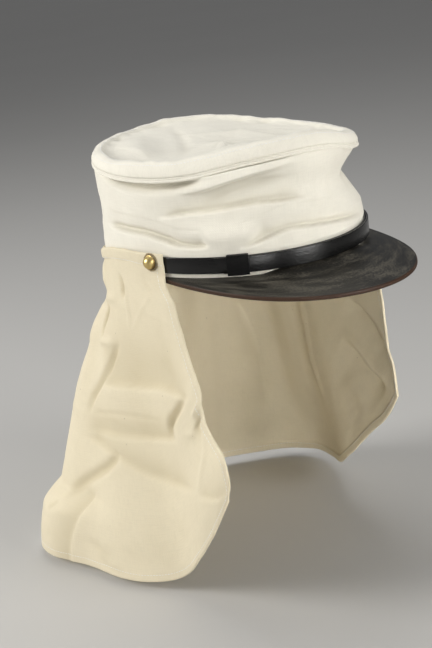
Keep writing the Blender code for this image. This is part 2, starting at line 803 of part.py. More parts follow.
def cut_post_hole(name, turn, pieces):
    """Cut the hole for a button's post through the pieces that it holds."""
    radius = BUTTON_POST_RADIUS + GAP
    reach = BUTTON_RADIUS + CURTAIN_HEM
    profile = [(0.0, -reach), (radius, -reach), (radius, reach), (0.0, reach)]
    place = rim_point(turn, 0.0, button_height())
    mesh = turned_mesh(name, profile, BUTTON_SIDES, place, rim_normal(turn))
    cutter = bpy.data.objects.new(name, mesh)
    bpy.context.collection.objects.link(cutter)
    cutter.hide_render = True
    cutter.display_type = "WIRE"
    for piece in pieces:
        cut = piece.modifiers.new(name, "BOOLEAN")
        cut.operation = "DIFFERENCE"
        cut.solver = "EXACT"
        cut.object = cutter


def main():
    """Clear the scene and build the whole hat."""
    for existing in list(bpy.data.objects):
        bpy.data.objects.remove(existing)
    side = build_crown_side()
    build_crown_welt()
    build_crown_top()
    build_peak()
    end = strap_end_turn()
    under = build_strap("strap_under", 0, end, -end, 0.0)
    over = build_strap("strap_over", 1, STRAP_FREE_END_TURN, -end, STRAP_FREE_END_SLANT)
    build_keeper()
    curtain = build_neck_curtain()
    build_button("button_right", BUTTON_TURN)
    build_button("button_left", -BUTTON_TURN)
    cut_post_hole("post_hole_right", BUTTON_TURN, (side, under, curtain))
    cut_post_hole("post_hole_left", -BUTTON_TURN, (side, under, over, curtain))


main()
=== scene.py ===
"""Looks of a cotton kepi: its cloth, leather, brass and stitching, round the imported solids.

The front looks along -Y, the wearer's left is +X and up is +Z. All lengths are metres.
A turn is an angle round the head opening in degrees: 0 at the front, growing to the
wearer's right. A station runs along the curtain from its right front edge, 0, to its
left one, 1, and a drop from its upper edge, 0, to its lower one, 1.
"""

import logging
import math
from dataclasses import dataclass
from enum import Enum
from typing import NamedTuple, Sequence

import bmesh
import bpy
import numpy as np
from mathutils import Matrix, Vector

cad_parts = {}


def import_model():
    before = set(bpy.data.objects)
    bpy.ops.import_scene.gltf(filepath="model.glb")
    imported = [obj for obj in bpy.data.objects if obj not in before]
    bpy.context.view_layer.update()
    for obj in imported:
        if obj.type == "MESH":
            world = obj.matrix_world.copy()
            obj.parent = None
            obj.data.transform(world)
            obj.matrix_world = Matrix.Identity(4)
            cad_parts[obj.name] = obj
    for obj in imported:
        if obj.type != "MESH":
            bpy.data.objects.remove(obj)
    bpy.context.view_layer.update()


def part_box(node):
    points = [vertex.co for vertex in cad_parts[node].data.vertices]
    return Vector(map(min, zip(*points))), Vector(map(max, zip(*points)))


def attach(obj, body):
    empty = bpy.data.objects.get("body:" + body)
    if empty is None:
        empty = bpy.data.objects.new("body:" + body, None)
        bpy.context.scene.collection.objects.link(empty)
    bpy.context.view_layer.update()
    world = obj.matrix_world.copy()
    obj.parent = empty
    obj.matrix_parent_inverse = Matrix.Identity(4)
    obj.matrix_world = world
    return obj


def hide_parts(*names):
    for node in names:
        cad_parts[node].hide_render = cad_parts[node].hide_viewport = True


log = logging.getLogger("kepi")

Field = np.ndarray
Colour = tuple[float, float, float, float]
Range = tuple[float, float]
Chart = Sequence[tuple[float, float]]
Place = tuple[float, float, float]
Socket = bpy.types.NodeSocket
Material = bpy.types.Material
Mesh = bpy.types.Mesh
Piece = bpy.types.Object

MM = 0.001
BUTTON_TURN = 75.0
BUTTON_RISE = 0.0022


class SeamRow(NamedTuple):
    """The seam round the top: its height as a share of the crown's height, and how far
    the border's crest stands over it, as a share of the border's rise.
    """
    turn: float
    height: float
    crest: float


SEAM = (
    SeamRow(0, 1.030, 1.00), SeamRow(30, 1.000, 1.05), SeamRow(60, 0.905, 1.05),
    SeamRow(90, 0.895, 0.95), SeamRow(120, 0.932, 0.72), SeamRow(150, 0.968, 0.68),
    SeamRow(180, 0.992, 0.68), SeamRow(210, 1.000, 0.68), SeamRow(240, 0.930, 0.68),
    SeamRow(270, 0.895, 0.70), SeamRow(300, 0.880, 0.72), SeamRow(330, 0.930, 0.90),
)


class BorderRow(NamedTuple):
    """Section of the top, from its seam to its middle, as shares of radius and rise."""
    radius: float
    rise: float


TOP_SECTION = (
    BorderRow(0.000, 0.10), BorderRow(0.220, 0.12), BorderRow(0.470, 0.16),
    BorderRow(0.700, 0.30), BorderRow(0.830, 0.46), BorderRow(0.880, 0.56),
    BorderRow(0.900, 0.68), BorderRow(0.918, 0.93), BorderRow(0.945, 1.00),
    BorderRow(0.985, 0.80), BorderRow(1.004, 0.36), BorderRow(1.005, 0.00),
)


class HemRow(NamedTuple):
    """Lower edge of the curtain at a station.

    x is a share of the half width of the spread curtain, y of its reach behind and z of
    its drop.
    """
    station: float
    x: float
    y: float
    z: float


CURTAIN_LOWER_EDGE = (
    HemRow(0.000, -0.680, -0.615, -0.612), HemRow(0.044, -0.713, -0.480, -0.742),
    HemRow(0.093, -0.713, -0.315, -0.868), HemRow(0.135, -0.700, -0.160, -0.961),
    HemRow(0.170, -0.765, 0.000, -0.995), HemRow(0.212, -0.862, 0.195, -1.000),
    HemRow(0.254, -0.930, 0.400, -1.000), HemRow(0.303, -1.000, 0.645, -1.000),
    HemRow(0.350, -0.875, 0.835, -0.996), HemRow(0.410, -0.530, 0.945, -0.992),
    HemRow(0.500, 0.000, 1.000, -0.990), HemRow(0.590, 0.520, 0.940, -0.990),
    HemRow(0.650, 0.850, 0.810, -0.990), HemRow(0.700, 0.955, 0.620, -0.988),
    HemRow(0.750, 0.900, 0.400, -0.970), HemRow(0.800, 0.800, 0.190, -0.925),
    HemRow(0.850, 0.715, 0.020, -0.850), HemRow(0.900, 0.665, -0.165, -0.742),
    HemRow(0.950, 0.642, -0.345, -0.645), HemRow(1.000, 0.592, -0.425, -0.560),
)


class SpreadRow(NamedTuple):
    """How far a rib of the curtain has spread at a drop: at its right front edge, at the
    right rear where the cloth kicks out, round the rest of the back and at its left edge.
    """
    drop: float
    right: float
    kick: float
    back: float
    left: float


CURTAIN_SPREAD = (
    SpreadRow(0.000, 0.000, 0.000, 0.000, 0.000), SpreadRow(0.090, 0.060, 0.015, 0.015, 0.040),
    SpreadRow(0.165, 0.250, 0.045, 0.045, 0.130), SpreadRow(0.200, 0.280, 0.130, 0.130, 0.185),
    SpreadRow(0.264, 0.320, 0.242, 0.242, 0.275), SpreadRow(0.320, 0.375, 0.295, 0.295, 0.350),
    SpreadRow(0.400, 0.470, 0.400, 0.400, 0.430), SpreadRow(0.500, 0.600, 0.500, 0.500, 0.520),
    SpreadRow(0.550, 0.660, 0.535, 0.540, 0.556), SpreadRow(0.610, 0.650, 0.580, 0.590, 0.605),
    SpreadRow(0.680, 0.680, 0.635, 0.665, 0.665), SpreadRow(0.720, 0.780, 0.664, 0.713, 0.700),
    SpreadRow(0.755, 0.900, 0.690, 0.755, 0.730), SpreadRow(0.785, 0.990, 0.722, 0.795, 0.800),
    SpreadRow(0.815, 1.030, 0.840, 0.835, 0.885), SpreadRow(0.840, 1.045, 0.925, 0.862, 0.920),
    SpreadRow(0.900, 1.060, 0.970, 0.925, 0.980), SpreadRow(1.000, 1.000, 1.000, 1.000, 1.000),
)


class FoldForm(Enum):
    """Section of a fold across its line."""
    VALLEY = "pressed in, softly, on both sides of its line"
    PINCH = "pressed in to a sharp bottom, with straight sides twice as wide as the width"
    RIDGE = "raised, softly, on both sides of its line"
    STEP = "steep along its line, proud on its left and sinking back behind"


VALLEY, PINCH, RIDGE, STEP = FoldForm


class Fold(NamedTuple):
    """A fold of cloth: its depth and widths in millimetres, the share of its line in which
    each end fades, and the line on the cloth.
    """
    form: FoldForm
    depth: float
    width: float
    reach: float
    fade: float
    line: Chart


# Folds of the side wall: the lines hold turns, and heights in millimetres
WALL_FOLDS = (
    # the deep pinch at the front, the hollow that runs from it and the swelling under it
    Fold(PINCH, 13.1, 10.4, 0, 0.45, ((-104, 50), (-78, 49.5), (-50, 49), (-24, 50), (2, 52))),
    Fold(VALLEY, 2.6, 9.0, 0, 0.40, ((-24, 50), (4, 53), (30, 54), (58, 52))),
    Fold(RIDGE, 1.3, 7.0, 0, 0.30, ((34, 14), (4, 15), (-26, 16), (-58, 17), (-92, 18))),
    # the creases of the right side, from the seam down to the strap
    Fold(VALLEY, 6.4, 3.0, 0, 0.30, (
        (112, 67), (100, 64.5), (89, 62), (75, 61), (64, 62), (53.5, 64.5), (43.5, 67))),
    Fold(STEP, 6.8, 1.8, 9, 0.30, ((10, 70), (21, 68.5), (31, 66), (39, 63), (50.5, 58), (62, 56))),
    Fold(VALLEY, 2.8, 5.0, 0, 0.34, ((8, 63), (20, 61), (34, 57.5), (48, 51), (60, 47))),
    Fold(STEP, -6.6, 1.4, 8, 0.22, (
        (4, 46.5), (15, 46), (30.5, 47), (45, 44.5), (55, 43.5), (63, 42), (72, 40))),
    Fold(RIDGE, 2.8, 7.5, 0, 0.30, ((68, 26), (50, 28), (36, 28), (26, 28))),
    Fold(STEP, -6.0, 1.5, 8, 0.22, (
        (-46, 17.5), (-20, 22), (0, 25.5), (12, 27), (18, 26.5), (29, 22), (38, 17.5))),
    Fold(STEP, -6.0, 1.5, 6, 0.16, (
        (49, 22), (54, 21), (63.5, 21.5), (70, 24.5), (80.5, 28), (95.5, 28.5), (108, 29.5))),
    Fold(VALLEY, 1.8, 2.4, 0, 0.30, (
        (54, 23), (63.5, 23.5), (70, 26.5), (80.5, 30), (95.5, 30.5), (108, 31.5))),
    # soft creases of the left side and the back
    Fold(VALLEY, 3.4, 6.0, 0, 0.34, ((-128, 58), (-112, 55), (-94, 50))),
    Fold(STEP, 2.4, 2.0, 9, 0.30, ((-124, 24), (-100, 30), (-78, 33), (-62, 36))),
    Fold(VALLEY, 2.2, 3.2, 0, 0.34, ((-152, 58), (-134, 52), (-118, 50))),
    Fold(STEP, -2.6, 1.8, 9, 0.34, ((-170, 28), (-150, 36), (-128, 40))),
    Fold(VALLEY, 2.8, 5.0, 0, 0.34, ((134, 48), (158, 44), (184, 39))),
    Fold(STEP, -2.4, 1.8, 9, 0.30, ((118, 25), (136, 31), (152, 33))),
    Fold(VALLEY, 2.4, 4.4, 0, 0.34, ((194, 27), (210, 33), (226, 39))),
    Fold(VALLEY, 2.0, 3.0, 0, 0.34, ((168, 64), (186, 60), (206, 62))),
)

# Folds of the top: the lines hold x and y as shares of the rim's half sizes
TOP_FOLDS = (
    Fold(STEP, 3.1, 1.7, 9, 0.30, (
        (0.80, -0.30), (0.72, 0.02), (0.53, 0.17), (0.31, 0.28), (0.10, 0.44), (0.02, 0.66))),
    Fold(STEP, 3.4, 1.7, 8, 0.24, (
        (0.68, -0.62), (0.58, -0.34), (0.34, -0.15), (0.13, -0.06), (-0.03, 0.03), (-0.14, 0.16))),
    Fold(STEP, 3.1, 1.8, 8, 0.26, (
        (0.56, -0.56), (0.51, -0.33), (0.26, -0.24), (-0.04, -0.25), (-0.29, -0.23), (-0.46, -0.14))),
    Fold(STEP, 2.6, 1.6, 7, 0.28, ((0.76, -0.50), (0.61, -0.22), (0.49, 0.01), (0.40, 0.26), (0.30, 0.46))),
    Fold(VALLEY, 2.4, 2.4, 0, 0.34, ((0.62, -0.64), (0.52, -0.46), (0.40, -0.34), (0.16, -0.34))),
    Fold(RIDGE, 4.0, 13.0, 0, 0.40, ((-0.66, 0.10), (-0.50, 0.42), (-0.24, 0.78))),
    Fold(VALLEY, 1.2, 4.0, 0, 0.34, ((0.20, 0.84), (0.04, 0.56), (-0.16, 0.26), (-0.40, -0.06))),
    Fold(STEP, 0.9, 1.4, 6, 0.34, ((-0.58, 0.60), (-0.60, 0.26), (-0.70, 0.00))),
)

# Folds of the curtain: the lines hold stations and drops
CURTAIN_FOLDS = (
    # the tuck down the right side, pinched in three places, and the lumps between them
    Fold(VALLEY, 3.4, 2.4, 0, 0.34, ((0.137, 0.070), (0.131, 0.117), (0.142, 0.150))),
    Fold(VALLEY, 4.4, 2.5, 0, 0.30, ((0.206, 0.172), (0.222, 0.205), (0.236, 0.238), (0.240, 0.280))),
    Fold(VALLEY, 3.8, 2.5, 0, 0.24, (
        (0.172, 0.275), (0.200, 0.320), (0.221, 0.372), (0.243, 0.418), (0.265, 0.464), (0.276, 0.530))),
    Fold(RIDGE, 1.0, 1.8, 0, 0.34, ((0.116, 0.091), (0.124, 0.136), (0.134, 0.199), (0.149, 0.253))),
    Fold(RIDGE, 1.6, 2.4, 0, 0.34, ((0.250, 0.165), (0.200, 0.155), (0.150, 0.148))),
    Fold(RIDGE, 1.8, 2.6, 0, 0.34, ((0.256, 0.284), (0.220, 0.284), (0.190, 0.276))),
    Fold(RIDGE, 2.6, 7.0, 0, 0.34, ((0.262, 0.120), (0.285, 0.240), (0.290, 0.360), (0.300, 0.500))),
    Fold(VALLEY, 1.6, 2.4, 0, 0.34, ((0.236, 0.050), (0.244, 0.095), (0.262, 0.120))),
    Fold(RIDGE, 2.8, 5.0, 0, 0.34, ((0.290, 0.030), (0.280, 0.080), (0.270, 0.140))),
    # the puckers round the button
    Fold(VALLEY, 1.3, 2.2, 0, 0.34, ((0.054, 0.070), (0.047, 0.108), (0.050, 0.155))),
    Fold(RIDGE, 0.9, 1.8, 0, 0.34, ((0.034, 0.080), (0.032, 0.116), (0.026, 0.150))),
    Fold(VALLEY, 1.0, 1.8, 0, 0.34, ((0.017, 0.082), (0.017, 0.124))),
    Fold(RIDGE, 0.6, 1.2, 0, 0.34, ((0.039, 0.127), (0.094, 0.193), (0.145, 0.253))),
    # the creases across the right side
    Fold(STEP, -4.6, 1.6, 24, 0.24, (
        (0.230, 0.415), (0.202, 0.409), (0.161, 0.409), (0.087, 0.446), (0.020, 0.545))),
    Fold(PINCH, 0.7, 0.9, 0, 0.20, ((0.270, 0.515), (0.179, 0.491), (0.109, 0.528))),
    Fold(STEP, -3.6, 1.6, 12, 0.22, (
        (0.285, 0.575), (0.212, 0.564), (0.157, 0.564), (0.110, 0.590), (0.074, 0.627))),
    # the dents above the front corner
    Fold(VALLEY, 4.6, 3.4, 0, 0.32, ((0.030, 0.505), (0.071, 0.537), (0.094, 0.555), (0.101, 0.610))),
    Fold(RIDGE, 2.4, 3.6, 0, 0.40, ((0.003, 0.575), (0.026, 0.617))),
    Fold(VALLEY, 2.8, 3.2, 0, 0.36, ((0.002, 0.635), (0.020, 0.662), (0.018, 0.714))),
    Fold(RIDGE, 1.0, 1.6, 0, 0.36, ((0.060, 0.612), (0.029, 0.670), (0.010, 0.722))),
    # the long crease from the right rear down to the front corner
    Fold(STEP, -3.2, 1.8, 11, 0.20, (
        (0.290, 0.598), (0.262, 0.603), (0.240, 0.610), (0.204, 0.628), (0.178, 0.646), (0.148, 0.683),
        (0.096, 0.754), (0.062, 0.805))),
    # the fold that curls over the kick, and the one that falls to the hem
    Fold(VALLEY, 4.2, 3.2, 0, 0.26, (
        (0.198, 0.622), (0.206, 0.634), (0.223, 0.664), (0.264, 0.719), (0.289, 0.765), (0.304, 0.810))),
    Fold(STEP, -2.8, 1.5, 10, 0.20, (
        (0.283, 1.060), (0.281, 0.976), (0.278, 0.920), (0.271, 0.856), (0.262, 0.800), (0.250, 0.760))),
    Fold(VALLEY, 1.8, 2.0, 0, 0.40, ((0.316, 0.850), (0.304, 0.812))),
    # the front corner, and soft hollows near the hem
    Fold(RIDGE, 1.0, 1.3, 0, 0.30, ((0.008, 0.700), (0.029, 0.741), (0.047, 0.760), (0.069, 0.798))),
    Fold(STEP, -2.0, 1.6, 9, 0.30, ((0.072, 0.800), (0.050, 0.845), (0.026, 0.900), (0.004, 0.960))),
    Fold(VALLEY, 1.2, 4.0, 0, 0.40, ((0.262, 0.900), (0.236, 0.930), (0.205, 0.950))),
    Fold(VALLEY, 1.4, 3.0, 0, 0.40, ((0.246, 0.950), (0.222, 0.975), (0.190, 0.985))),
    Fold(RIDGE, 1.2, 6.0, 0, 0.40, ((0.140, 1.020), (0.160, 0.900), (0.190, 0.800))),
    # the left side, seen from within past the peak
    Fold(STEP, 6.6, 2.2, 12, 0.22, (
        (0.905, 0.42), (0.938, 0.51), (0.958, 0.58), (0.972, 0.66), (0.994, 0.77))),
    Fold(STEP, 6.2, 2.4, 13, 0.24, (
        (0.880, 0.56), (0.905, 0.66), (0.920, 0.73), (0.938, 0.80), (0.955, 0.88))),
    Fold(VALLEY, 2.2, 6.0, 0, 0.34, ((0.865, 0.70), (0.890, 0.82), (0.905, 0.95))),
    # long soft folds of the back and the left side
    Fold(VALLEY, 5.5, 12.0, 0, 0.26, ((0.400, 0.14), (0.408, 0.50), (0.432, 1.06))),
    Fold(STEP, -2.6, 2.4, 14, 0.26, ((0.452, 0.82), (0.470, 0.48), (0.462, 0.20))),
    Fold(VALLEY, 5.5, 12.0, 0, 0.26, ((0.585, 0.12), (0.572, 0.50), (0.560, 1.06))),
    Fold(STEP, -2.6, 2.4, 14, 0.26, ((0.640, 0.30), (0.655, 0.55), (0.640, 0.86))),
    Fold(VALLEY, 4.6, 10.0, 0, 0.26, ((0.735, 0.12), (0.722, 0.45), (0.712, 0.92))),
    Fold(VALLEY, 2.6, 4.0, 0, 0.34, ((0.790, 0.30), (0.775, 0.55), (0.790, 0.80))),
    Fold(STEP, -2.4, 1.8, 12, 0.30, ((0.560, 0.78), (0.520, 0.70), (0.480, 0.68), (0.430, 0.72))),
    Fold(VALLEY, 1.6, 2.6, 0, 0.34, ((0.340, 0.16), (0.350, 0.30), (0.338, 0.46))),
)


def smooth_step(low: float, high: float, value: Field) -> Field:
    """Rise smoothly from 0 at low to 1 at high."""
    share = np.clip((value - low) / (high - low), 0.0, 1.0)
    return share * share * (3.0 - 2.0 * share)


def bell(distance: Field, width: float) -> Field:
    """Bell curve of a distance: 1 at 0, and a third at the width."""
    return np.exp(-((distance / width) ** 2))


def round_off(distance: Field, radius: float) -> Field:
    """How far a round edge falls away near the edge, as a share of its radius."""
    inwards = 1.0 - np.clip(distance / radius, 0.0, 1.0)
    return 1.0 - np.sqrt(np.clip(1.0 - inwards ** 2, 0.0, 1.0))


def nearest(values: Field, wanted: float) -> int:
    """Index of the value nearest to the wanted one."""
    return int(np.argmin(np.abs(values - wanted)))


def curve_through(before: Field, start: Field, end: Field, after: Field, share: Field) -> Field:
    """Catmull-Rom value between start and end."""
    slope_a = (end - before) / 2.0
    slope_b = (after - start) / 2.0
    cubic = 2.0 * (start - end) + slope_a + slope_b
    square = 3.0 * (end - start) - 2.0 * slope_a - slope_b
    return ((cubic * share + square) * share + slope_a) * share + start


def read_table(rows: Sequence[NamedTuple], key: str, column: str, places: Field) -> Field:
    """Read a table's column on a smooth curve through its rows.

    Args:
        rows: The table, with its keys growing.
        key: Name of the column that holds the keys.
        column: Name of the column to read.
        places: Keys to read it at.

    Returns:
        The column's value at each place.
    """
    keys = np.array([getattr(row, key) for row in rows], float)
    values = np.array([getattr(row, column) for row in rows], float)
    last = len(rows) - 1
    index = np.clip(np.searchsorted(keys, places, side="right") - 1, 0, last - 1)
    share = np.clip((places - keys[index]) / (keys[index + 1] - keys[index]), 0.0, 1.0)
    near = [values[np.clip(index + shift, 0, last)] for shift in (-1, 0, 1, 2)]
    return curve_through(*near, share)


def read_round(rows: Sequence[SeamRow], column: str, turns: Field) -> Field:
    """Read a table that closes on itself after a full turn."""
    count = len(rows)
    keys = np.array([row.turn for row in rows] + [rows[0].turn + 360.0], float)
    values = np.array([getattr(row, column) for row in rows], float)
    places = np.mod(turns, 360.0)
    index = np.clip(np.searchsorted(keys, places, side="right") - 1, 0, count - 1)
    share = (places - keys[index]) / (keys[index + 1] - keys[index])
    near = [values[(index + shift) % count] for shift in (-1, 0, 1, 2)]
    return curve_through(*near, share)


@dataclass(frozen=True)
class SoftNoise:
    """Random soft heights up to about a depth in millimetres, the same at each run.

    Attributes:
        seed: Start of its random draws.
        columns: Columns of its lattice, which closes on itself across.
        rows: Rows of its lattice.
        depth: Depth of the heights, in millimetres.
        part: Part of the columns that the cloth takes up.
    """
    seed: int
    columns: int
    rows: int
    depth: float
    part: float = 1.0

    def heights(self, across: Field, along: Field) -> Field:
        """Heights in metres at shares across and along the cloth."""
        across = across * self.part
        lattice = np.random.default_rng(self.seed).uniform(-1.0, 1.0, (self.columns, self.rows + 4))
        column = np.floor(across * self.columns).astype(int)
        row = np.floor(along * self.rows).astype(int)
        in_column = self.spline(across * self.columns - column)
        in_row = self.spline(along * self.rows - row)
        total = np.zeros(np.broadcast(across, along).shape)
        for step, weight in enumerate(in_column):
            for rise, share in enumerate(in_row):
                place = np.clip(row + rise, 0, self.rows + 3)
                total = total + weight * share * lattice[(column + step) % self.columns, place]
        return 1.7 * self.depth * MM * total

    @staticmethod
    def spline(share: Field) -> tuple[Field, Field, Field, Field]:
        """Weights of the four lattice points round a place."""
        rest = 1.0 - share
        return (
            rest ** 3 / 6.0,
            (3.0 * share ** 3 - 6.0 * share ** 2 + 4.0) / 6.0,
            (3.0 * rest ** 3 - 6.0 * rest ** 2 + 4.0) / 6.0,
            share ** 3 / 6.0,
        )


@dataclass(frozen=True)
class BorderPucker:
    """Puckers of the top in a ring of a radius and a width, as shares of the top's radius."""
    noise: SoftNoise
    radius: float
    width: float


WALL_RUMPLES = (SoftNoise(11, 22, 3, 0.55), SoftNoise(12, 64, 9, 0.22), SoftNoise(13, 170, 24, 0.07))
TOP_RUMPLES = (SoftNoise(22, 16, 5, 0.70), SoftNoise(23, 70, 16, 0.16))
BORDER_PUCKERS = (
    BorderPucker(SoftNoise(21, 96, 8, 1.30), 0.895, 0.045),
    BorderPucker(SoftNoise(21, 96, 8, 0.40), 0.965, 0.030),
    BorderPucker(SoftNoise(24, 34, 3, 0.80), 0.945, 0.060),
    BorderPucker(SoftNoise(25, 150, 5, 0.45), 0.950, 0.050),
)
PEAK_WAVE = SoftNoise(31, 9, 3, 0.35, part=0.90)
CURTAIN_RUMPLES = (
    SoftNoise(41, 13, 6, 1.00, part=0.90), SoftNoise(42, 42, 18, 0.46, part=0.95),
    SoftNoise(43, 110, 44, 0.20, part=0.97),
)
HEM_PUCKERS = SoftNoise(44, 92, 30, 0.28, part=0.99)
BAND_PUCKERS = SoftNoise(45, 58, 3, 1.0, part=0.98)


def rumple(noises: Sequence[SoftNoise], across: Field, along: Field) -> Field:
    """Total height of several noises, in metres."""
    return sum(noise.heights(across, along) for noise in noises)


def smooth_line(line: Chart, scale: tuple[float, float], per_span: int = 5) -> Field:
    """Points in metres on a smooth curve through a fold's line."""
    ends = np.array(line, float) * np.array(scale)
    padded = np.concatenate([ends[:1], ends, ends[-1:]])
    points = []
    for span in range(len(ends) - 1):
        for step in range(per_span):
            share = step / per_span
            points.append(curve_through(*padded[span:span + 4], share))
    points.append(ends[-1])
    return np.array(points)


def fold_height(fold: Fold, across: Field, along: Field, scale: tuple[float, float]) -> Field:
    """Height of one fold over a cloth, in metres.

    Args:
        fold: The fold.
        across: First coordinate of each place, in metres.
        along: Second coordinate of each place, in metres.
        scale: What turns the fold's own coordinates into metres.

    Returns:
        How far the fold moves each place outwards.
    """
    line = smooth_line(fold.line, scale)
    spans = len(line) - 1
    closest = np.full(across.shape, np.inf)
    side = np.ones(across.shape)
    place = np.zeros(across.shape)
    for span in range(spans):
        run = line[span + 1] - line[span]
        away_x = across - line[span][0]
        away_y = along - line[span][1]
        share = np.clip((away_x * run[0] + away_y * run[1]) / (run @ run), 0.0, 1.0)
        rest_x = away_x - share * run[0]
        rest_y = away_y - share * run[1]
        distance = rest_x * rest_x + rest_y * rest_y
        closer = distance < closest
        closest = np.where(closer, distance, closest)
        side = np.where(closer, np.sign(run[0] * rest_y - run[1] * rest_x), side)
        place = np.where(closer, (span + share) / spans, place)
    distance = np.sqrt(closest)
    width = fold.width * MM
    ends = smooth_step(0.0, fold.fade, place) * (1.0 - smooth_step(1.0 - fold.fade, 1.0, place))
    if fold.form is STEP:
        section = smooth_step(-width, width, distance * side)
        section = section * np.exp(-np.maximum(distance * side, 0.0) / (fold.reach * MM))
        section = section * np.exp(-np.maximum(distance - 2.0 * fold.reach * MM, 0.0) / width)
    elif fold.form is PINCH:
        blunt = 0.2 * width
        away = (np.sqrt(distance ** 2 + blunt ** 2) - blunt) / (2.0 * width)
        section = -np.maximum(0.0, 1.0 - away) ** 1.15
    elif fold.form is VALLEY:
        section = -bell(distance, width)
    else:
        section = bell(distance, width)
    return fold.depth * MM * section * ends


def add_folds(folds: Sequence[Fold], across: Field, along: Field, scale: tuple[float, float]) -> Field:
    """Total height of several folds over a cloth, in metres."""
    total = np.zeros(across.shape)
    for fold in folds:
        total = total + fold_height(fold, across, along, scale)
    return total


def surface_normals(points: Field, ring: bool) -> Field:
    """Unit directions square to a grid of points, from its columns turned to its rows."""
    if ring:
        padded = np.concatenate([points[:, -1:], points, points[:, :1]], axis=1)
        across = padded[:, 2:] - padded[:, :-2]
    else:
        across = np.gradient(points, axis=1)
    normal = np.cross(across, np.gradient(points, axis=0))
    return normal / np.linalg.norm(normal, axis=-1, keepdims=True)


@dataclass(frozen=True)
class RimOval:
    """Oval of the head opening, which every piece of the cap follows."""
    half_length: float = 0.1017
    half_width: float = 0.0880

    @property
    def radius(self) -> float:
        """Mean radius of the oval."""
        return (self.half_length + self.half_width) / 2.0

    def normal(self, turns: Field) -> Field:
        """Outward level directions at some turns."""
        angle = np.radians(turns)
        across = -np.sin(angle) / self.half_width
        along = -np.cos(angle) / self.half_length
        size = np.hypot(across, along)
        return np.stack([across / size, along / size, np.zeros_like(size)], axis=-1)

    def point(self, turns: Field, offset: Field, height: Field) -> Field:
        """Points at some turns, offsets outwards from the oval and heights."""
        angle = np.radians(turns)
        across = -self.half_width * np.sin(angle)
        along = -self.half_length * np.cos(angle)
        level = np.zeros_like(across) + height
        level_point = np.stack(np.broadcast_arrays(across, along, level), axis=-1)
        return level_point + self.normal(turns) * np.expand_dims(np.zeros_like(level) + offset, -1)


@dataclass
class ClosedSkin:
    """A wall of cloth or leather between two grids of points, closed round its edges.

    Attributes:
        name: Name of the piece.
        outer: Grid of points of the outer side, by row and column.
        inner: Grid of points of the inner side.
        chart: Flat place of each outer point in metres; a ring has one more column.
        ring: Whether the columns close on themselves.
        capped: Whether the last row is closed with a fan of triangles.
    """
    name: str
    outer: Field
    inner: Field
    chart: Field
    ring: bool = False
    capped: bool = False

    def mesh(self) -> Mesh:
        """Make the mesh, with its UV map named cloth, and turn its faces outwards."""
        rows, columns = self.outer.shape[:2]
        count = rows * columns
        vertex = np.arange(count).reshape(rows, columns)
        corner = np.arange(rows * self.chart.shape[1]).reshape(rows, -1)
        if self.ring:
            vertex = np.concatenate([vertex, vertex[:, :1]], axis=1)
        faces = self.skins(vertex, count) + self.edges(vertex, count)
        corners = self.skins(corner, 0) + self.edges(corner, 0)
        points = np.concatenate([self.outer.reshape(-1, 3), self.inner.reshape(-1, 3)])
        places = self.chart.reshape(-1, 2)
        if self.capped:
            points = np.concatenate([points, [self.outer[-1].mean(0)], [self.inner[-1].mean(0)]])
            places = np.concatenate([places, [self.chart[-1].mean(0)]])
            faces += self.fan(vertex[-1], 2 * count, 0) + self.fan(vertex[-1], 2 * count + 1, count)
            corners += 2 * self.fan(corner[-1], len(places) - 1, 0)
        mesh = bpy.data.meshes.new(self.name)
        mesh.from_pydata(points.tolist(), [], faces)
        layer = mesh.uv_layers.new(name="cloth")
        flat = np.array([place for face in corners for place in face])
        layer.data.foreach_set("uv", places[flat].astype(np.float32).ravel())
        self.face_outwards(mesh)
        return mesh

    @staticmethod
    def skins(index: Field, shift: int) -> list[list[int]]:
        """Faces of the outer skin, and then of the inner one, whose points come later."""
        quads = np.stack([index[:-1, :-1], index[:-1, 1:], index[1:, 1:], index[1:, :-1]], -1)
        quads = quads.reshape(-1, 4)
        return quads.tolist() + (quads[:, ::-1] + shift).tolist()

    def edges(self, index: Field, shift: int) -> list[list[int]]:
        """Faces that join the two skins round their edges."""
        sides = [(index[0, 1:], index[0, :-1])]
        if not self.capped:
            sides.append((index[-1, :-1], index[-1, 1:]))
        if not self.ring:
            sides.append((index[:-1, 0], index[1:, 0]))
            sides.append((index[1:, -1], index[:-1, -1]))
        faces: list[list[int]] = []
        for start, end in sides:
            faces += np.stack([start, end, end + shift, start + shift], -1).tolist()
        return faces

    @staticmethod
    def fan(row: Field, middle: int, shift: int) -> list[list[int]]:
        """Triangles between a row and a middle point."""
        start = row[:-1] + shift
        end = row[1:] + shift
        centre = np.full(len(start), middle)
        order = [end, start, centre] if shift else [start, end, centre]
        return np.stack(order, -1).tolist()

    @staticmethod
    def face_outwards(mesh: Mesh) -> None:
        """Turn a closed mesh's faces outwards and shade it smooth."""
        shape = bmesh.new()
        shape.from_mesh(mesh)
        if shape.calc_volume(signed=True) < 0.0:
            bmesh.ops.reverse_faces(shape, faces=shape.faces)
        shape.to_mesh(mesh)
        shape.free()
        mesh.shade_smooth()


def put_attribute(mesh: Mesh, name: str, values: Field) -> None:
    """Store one number for each point of a mesh."""
    layer = mesh.attributes.new(name, "FLOAT", "POINT")
    padded = np.zeros(len(mesh.vertices), np.float32)
    padded[:len(values)] = values
    layer.data.foreach_set("value", padded)


def place_piece(name: str, mesh: Mesh, *finishes: Material) -> Piece:
    """Put a mesh in the scene as a piece with its materials."""
    piece = bpy.data.objects.new(name, mesh)
    mesh.materials.clear()
    for finish in finishes:
        mesh.materials.append(finish)
    bpy.context.scene.collection.objects.link(piece)
    return piece


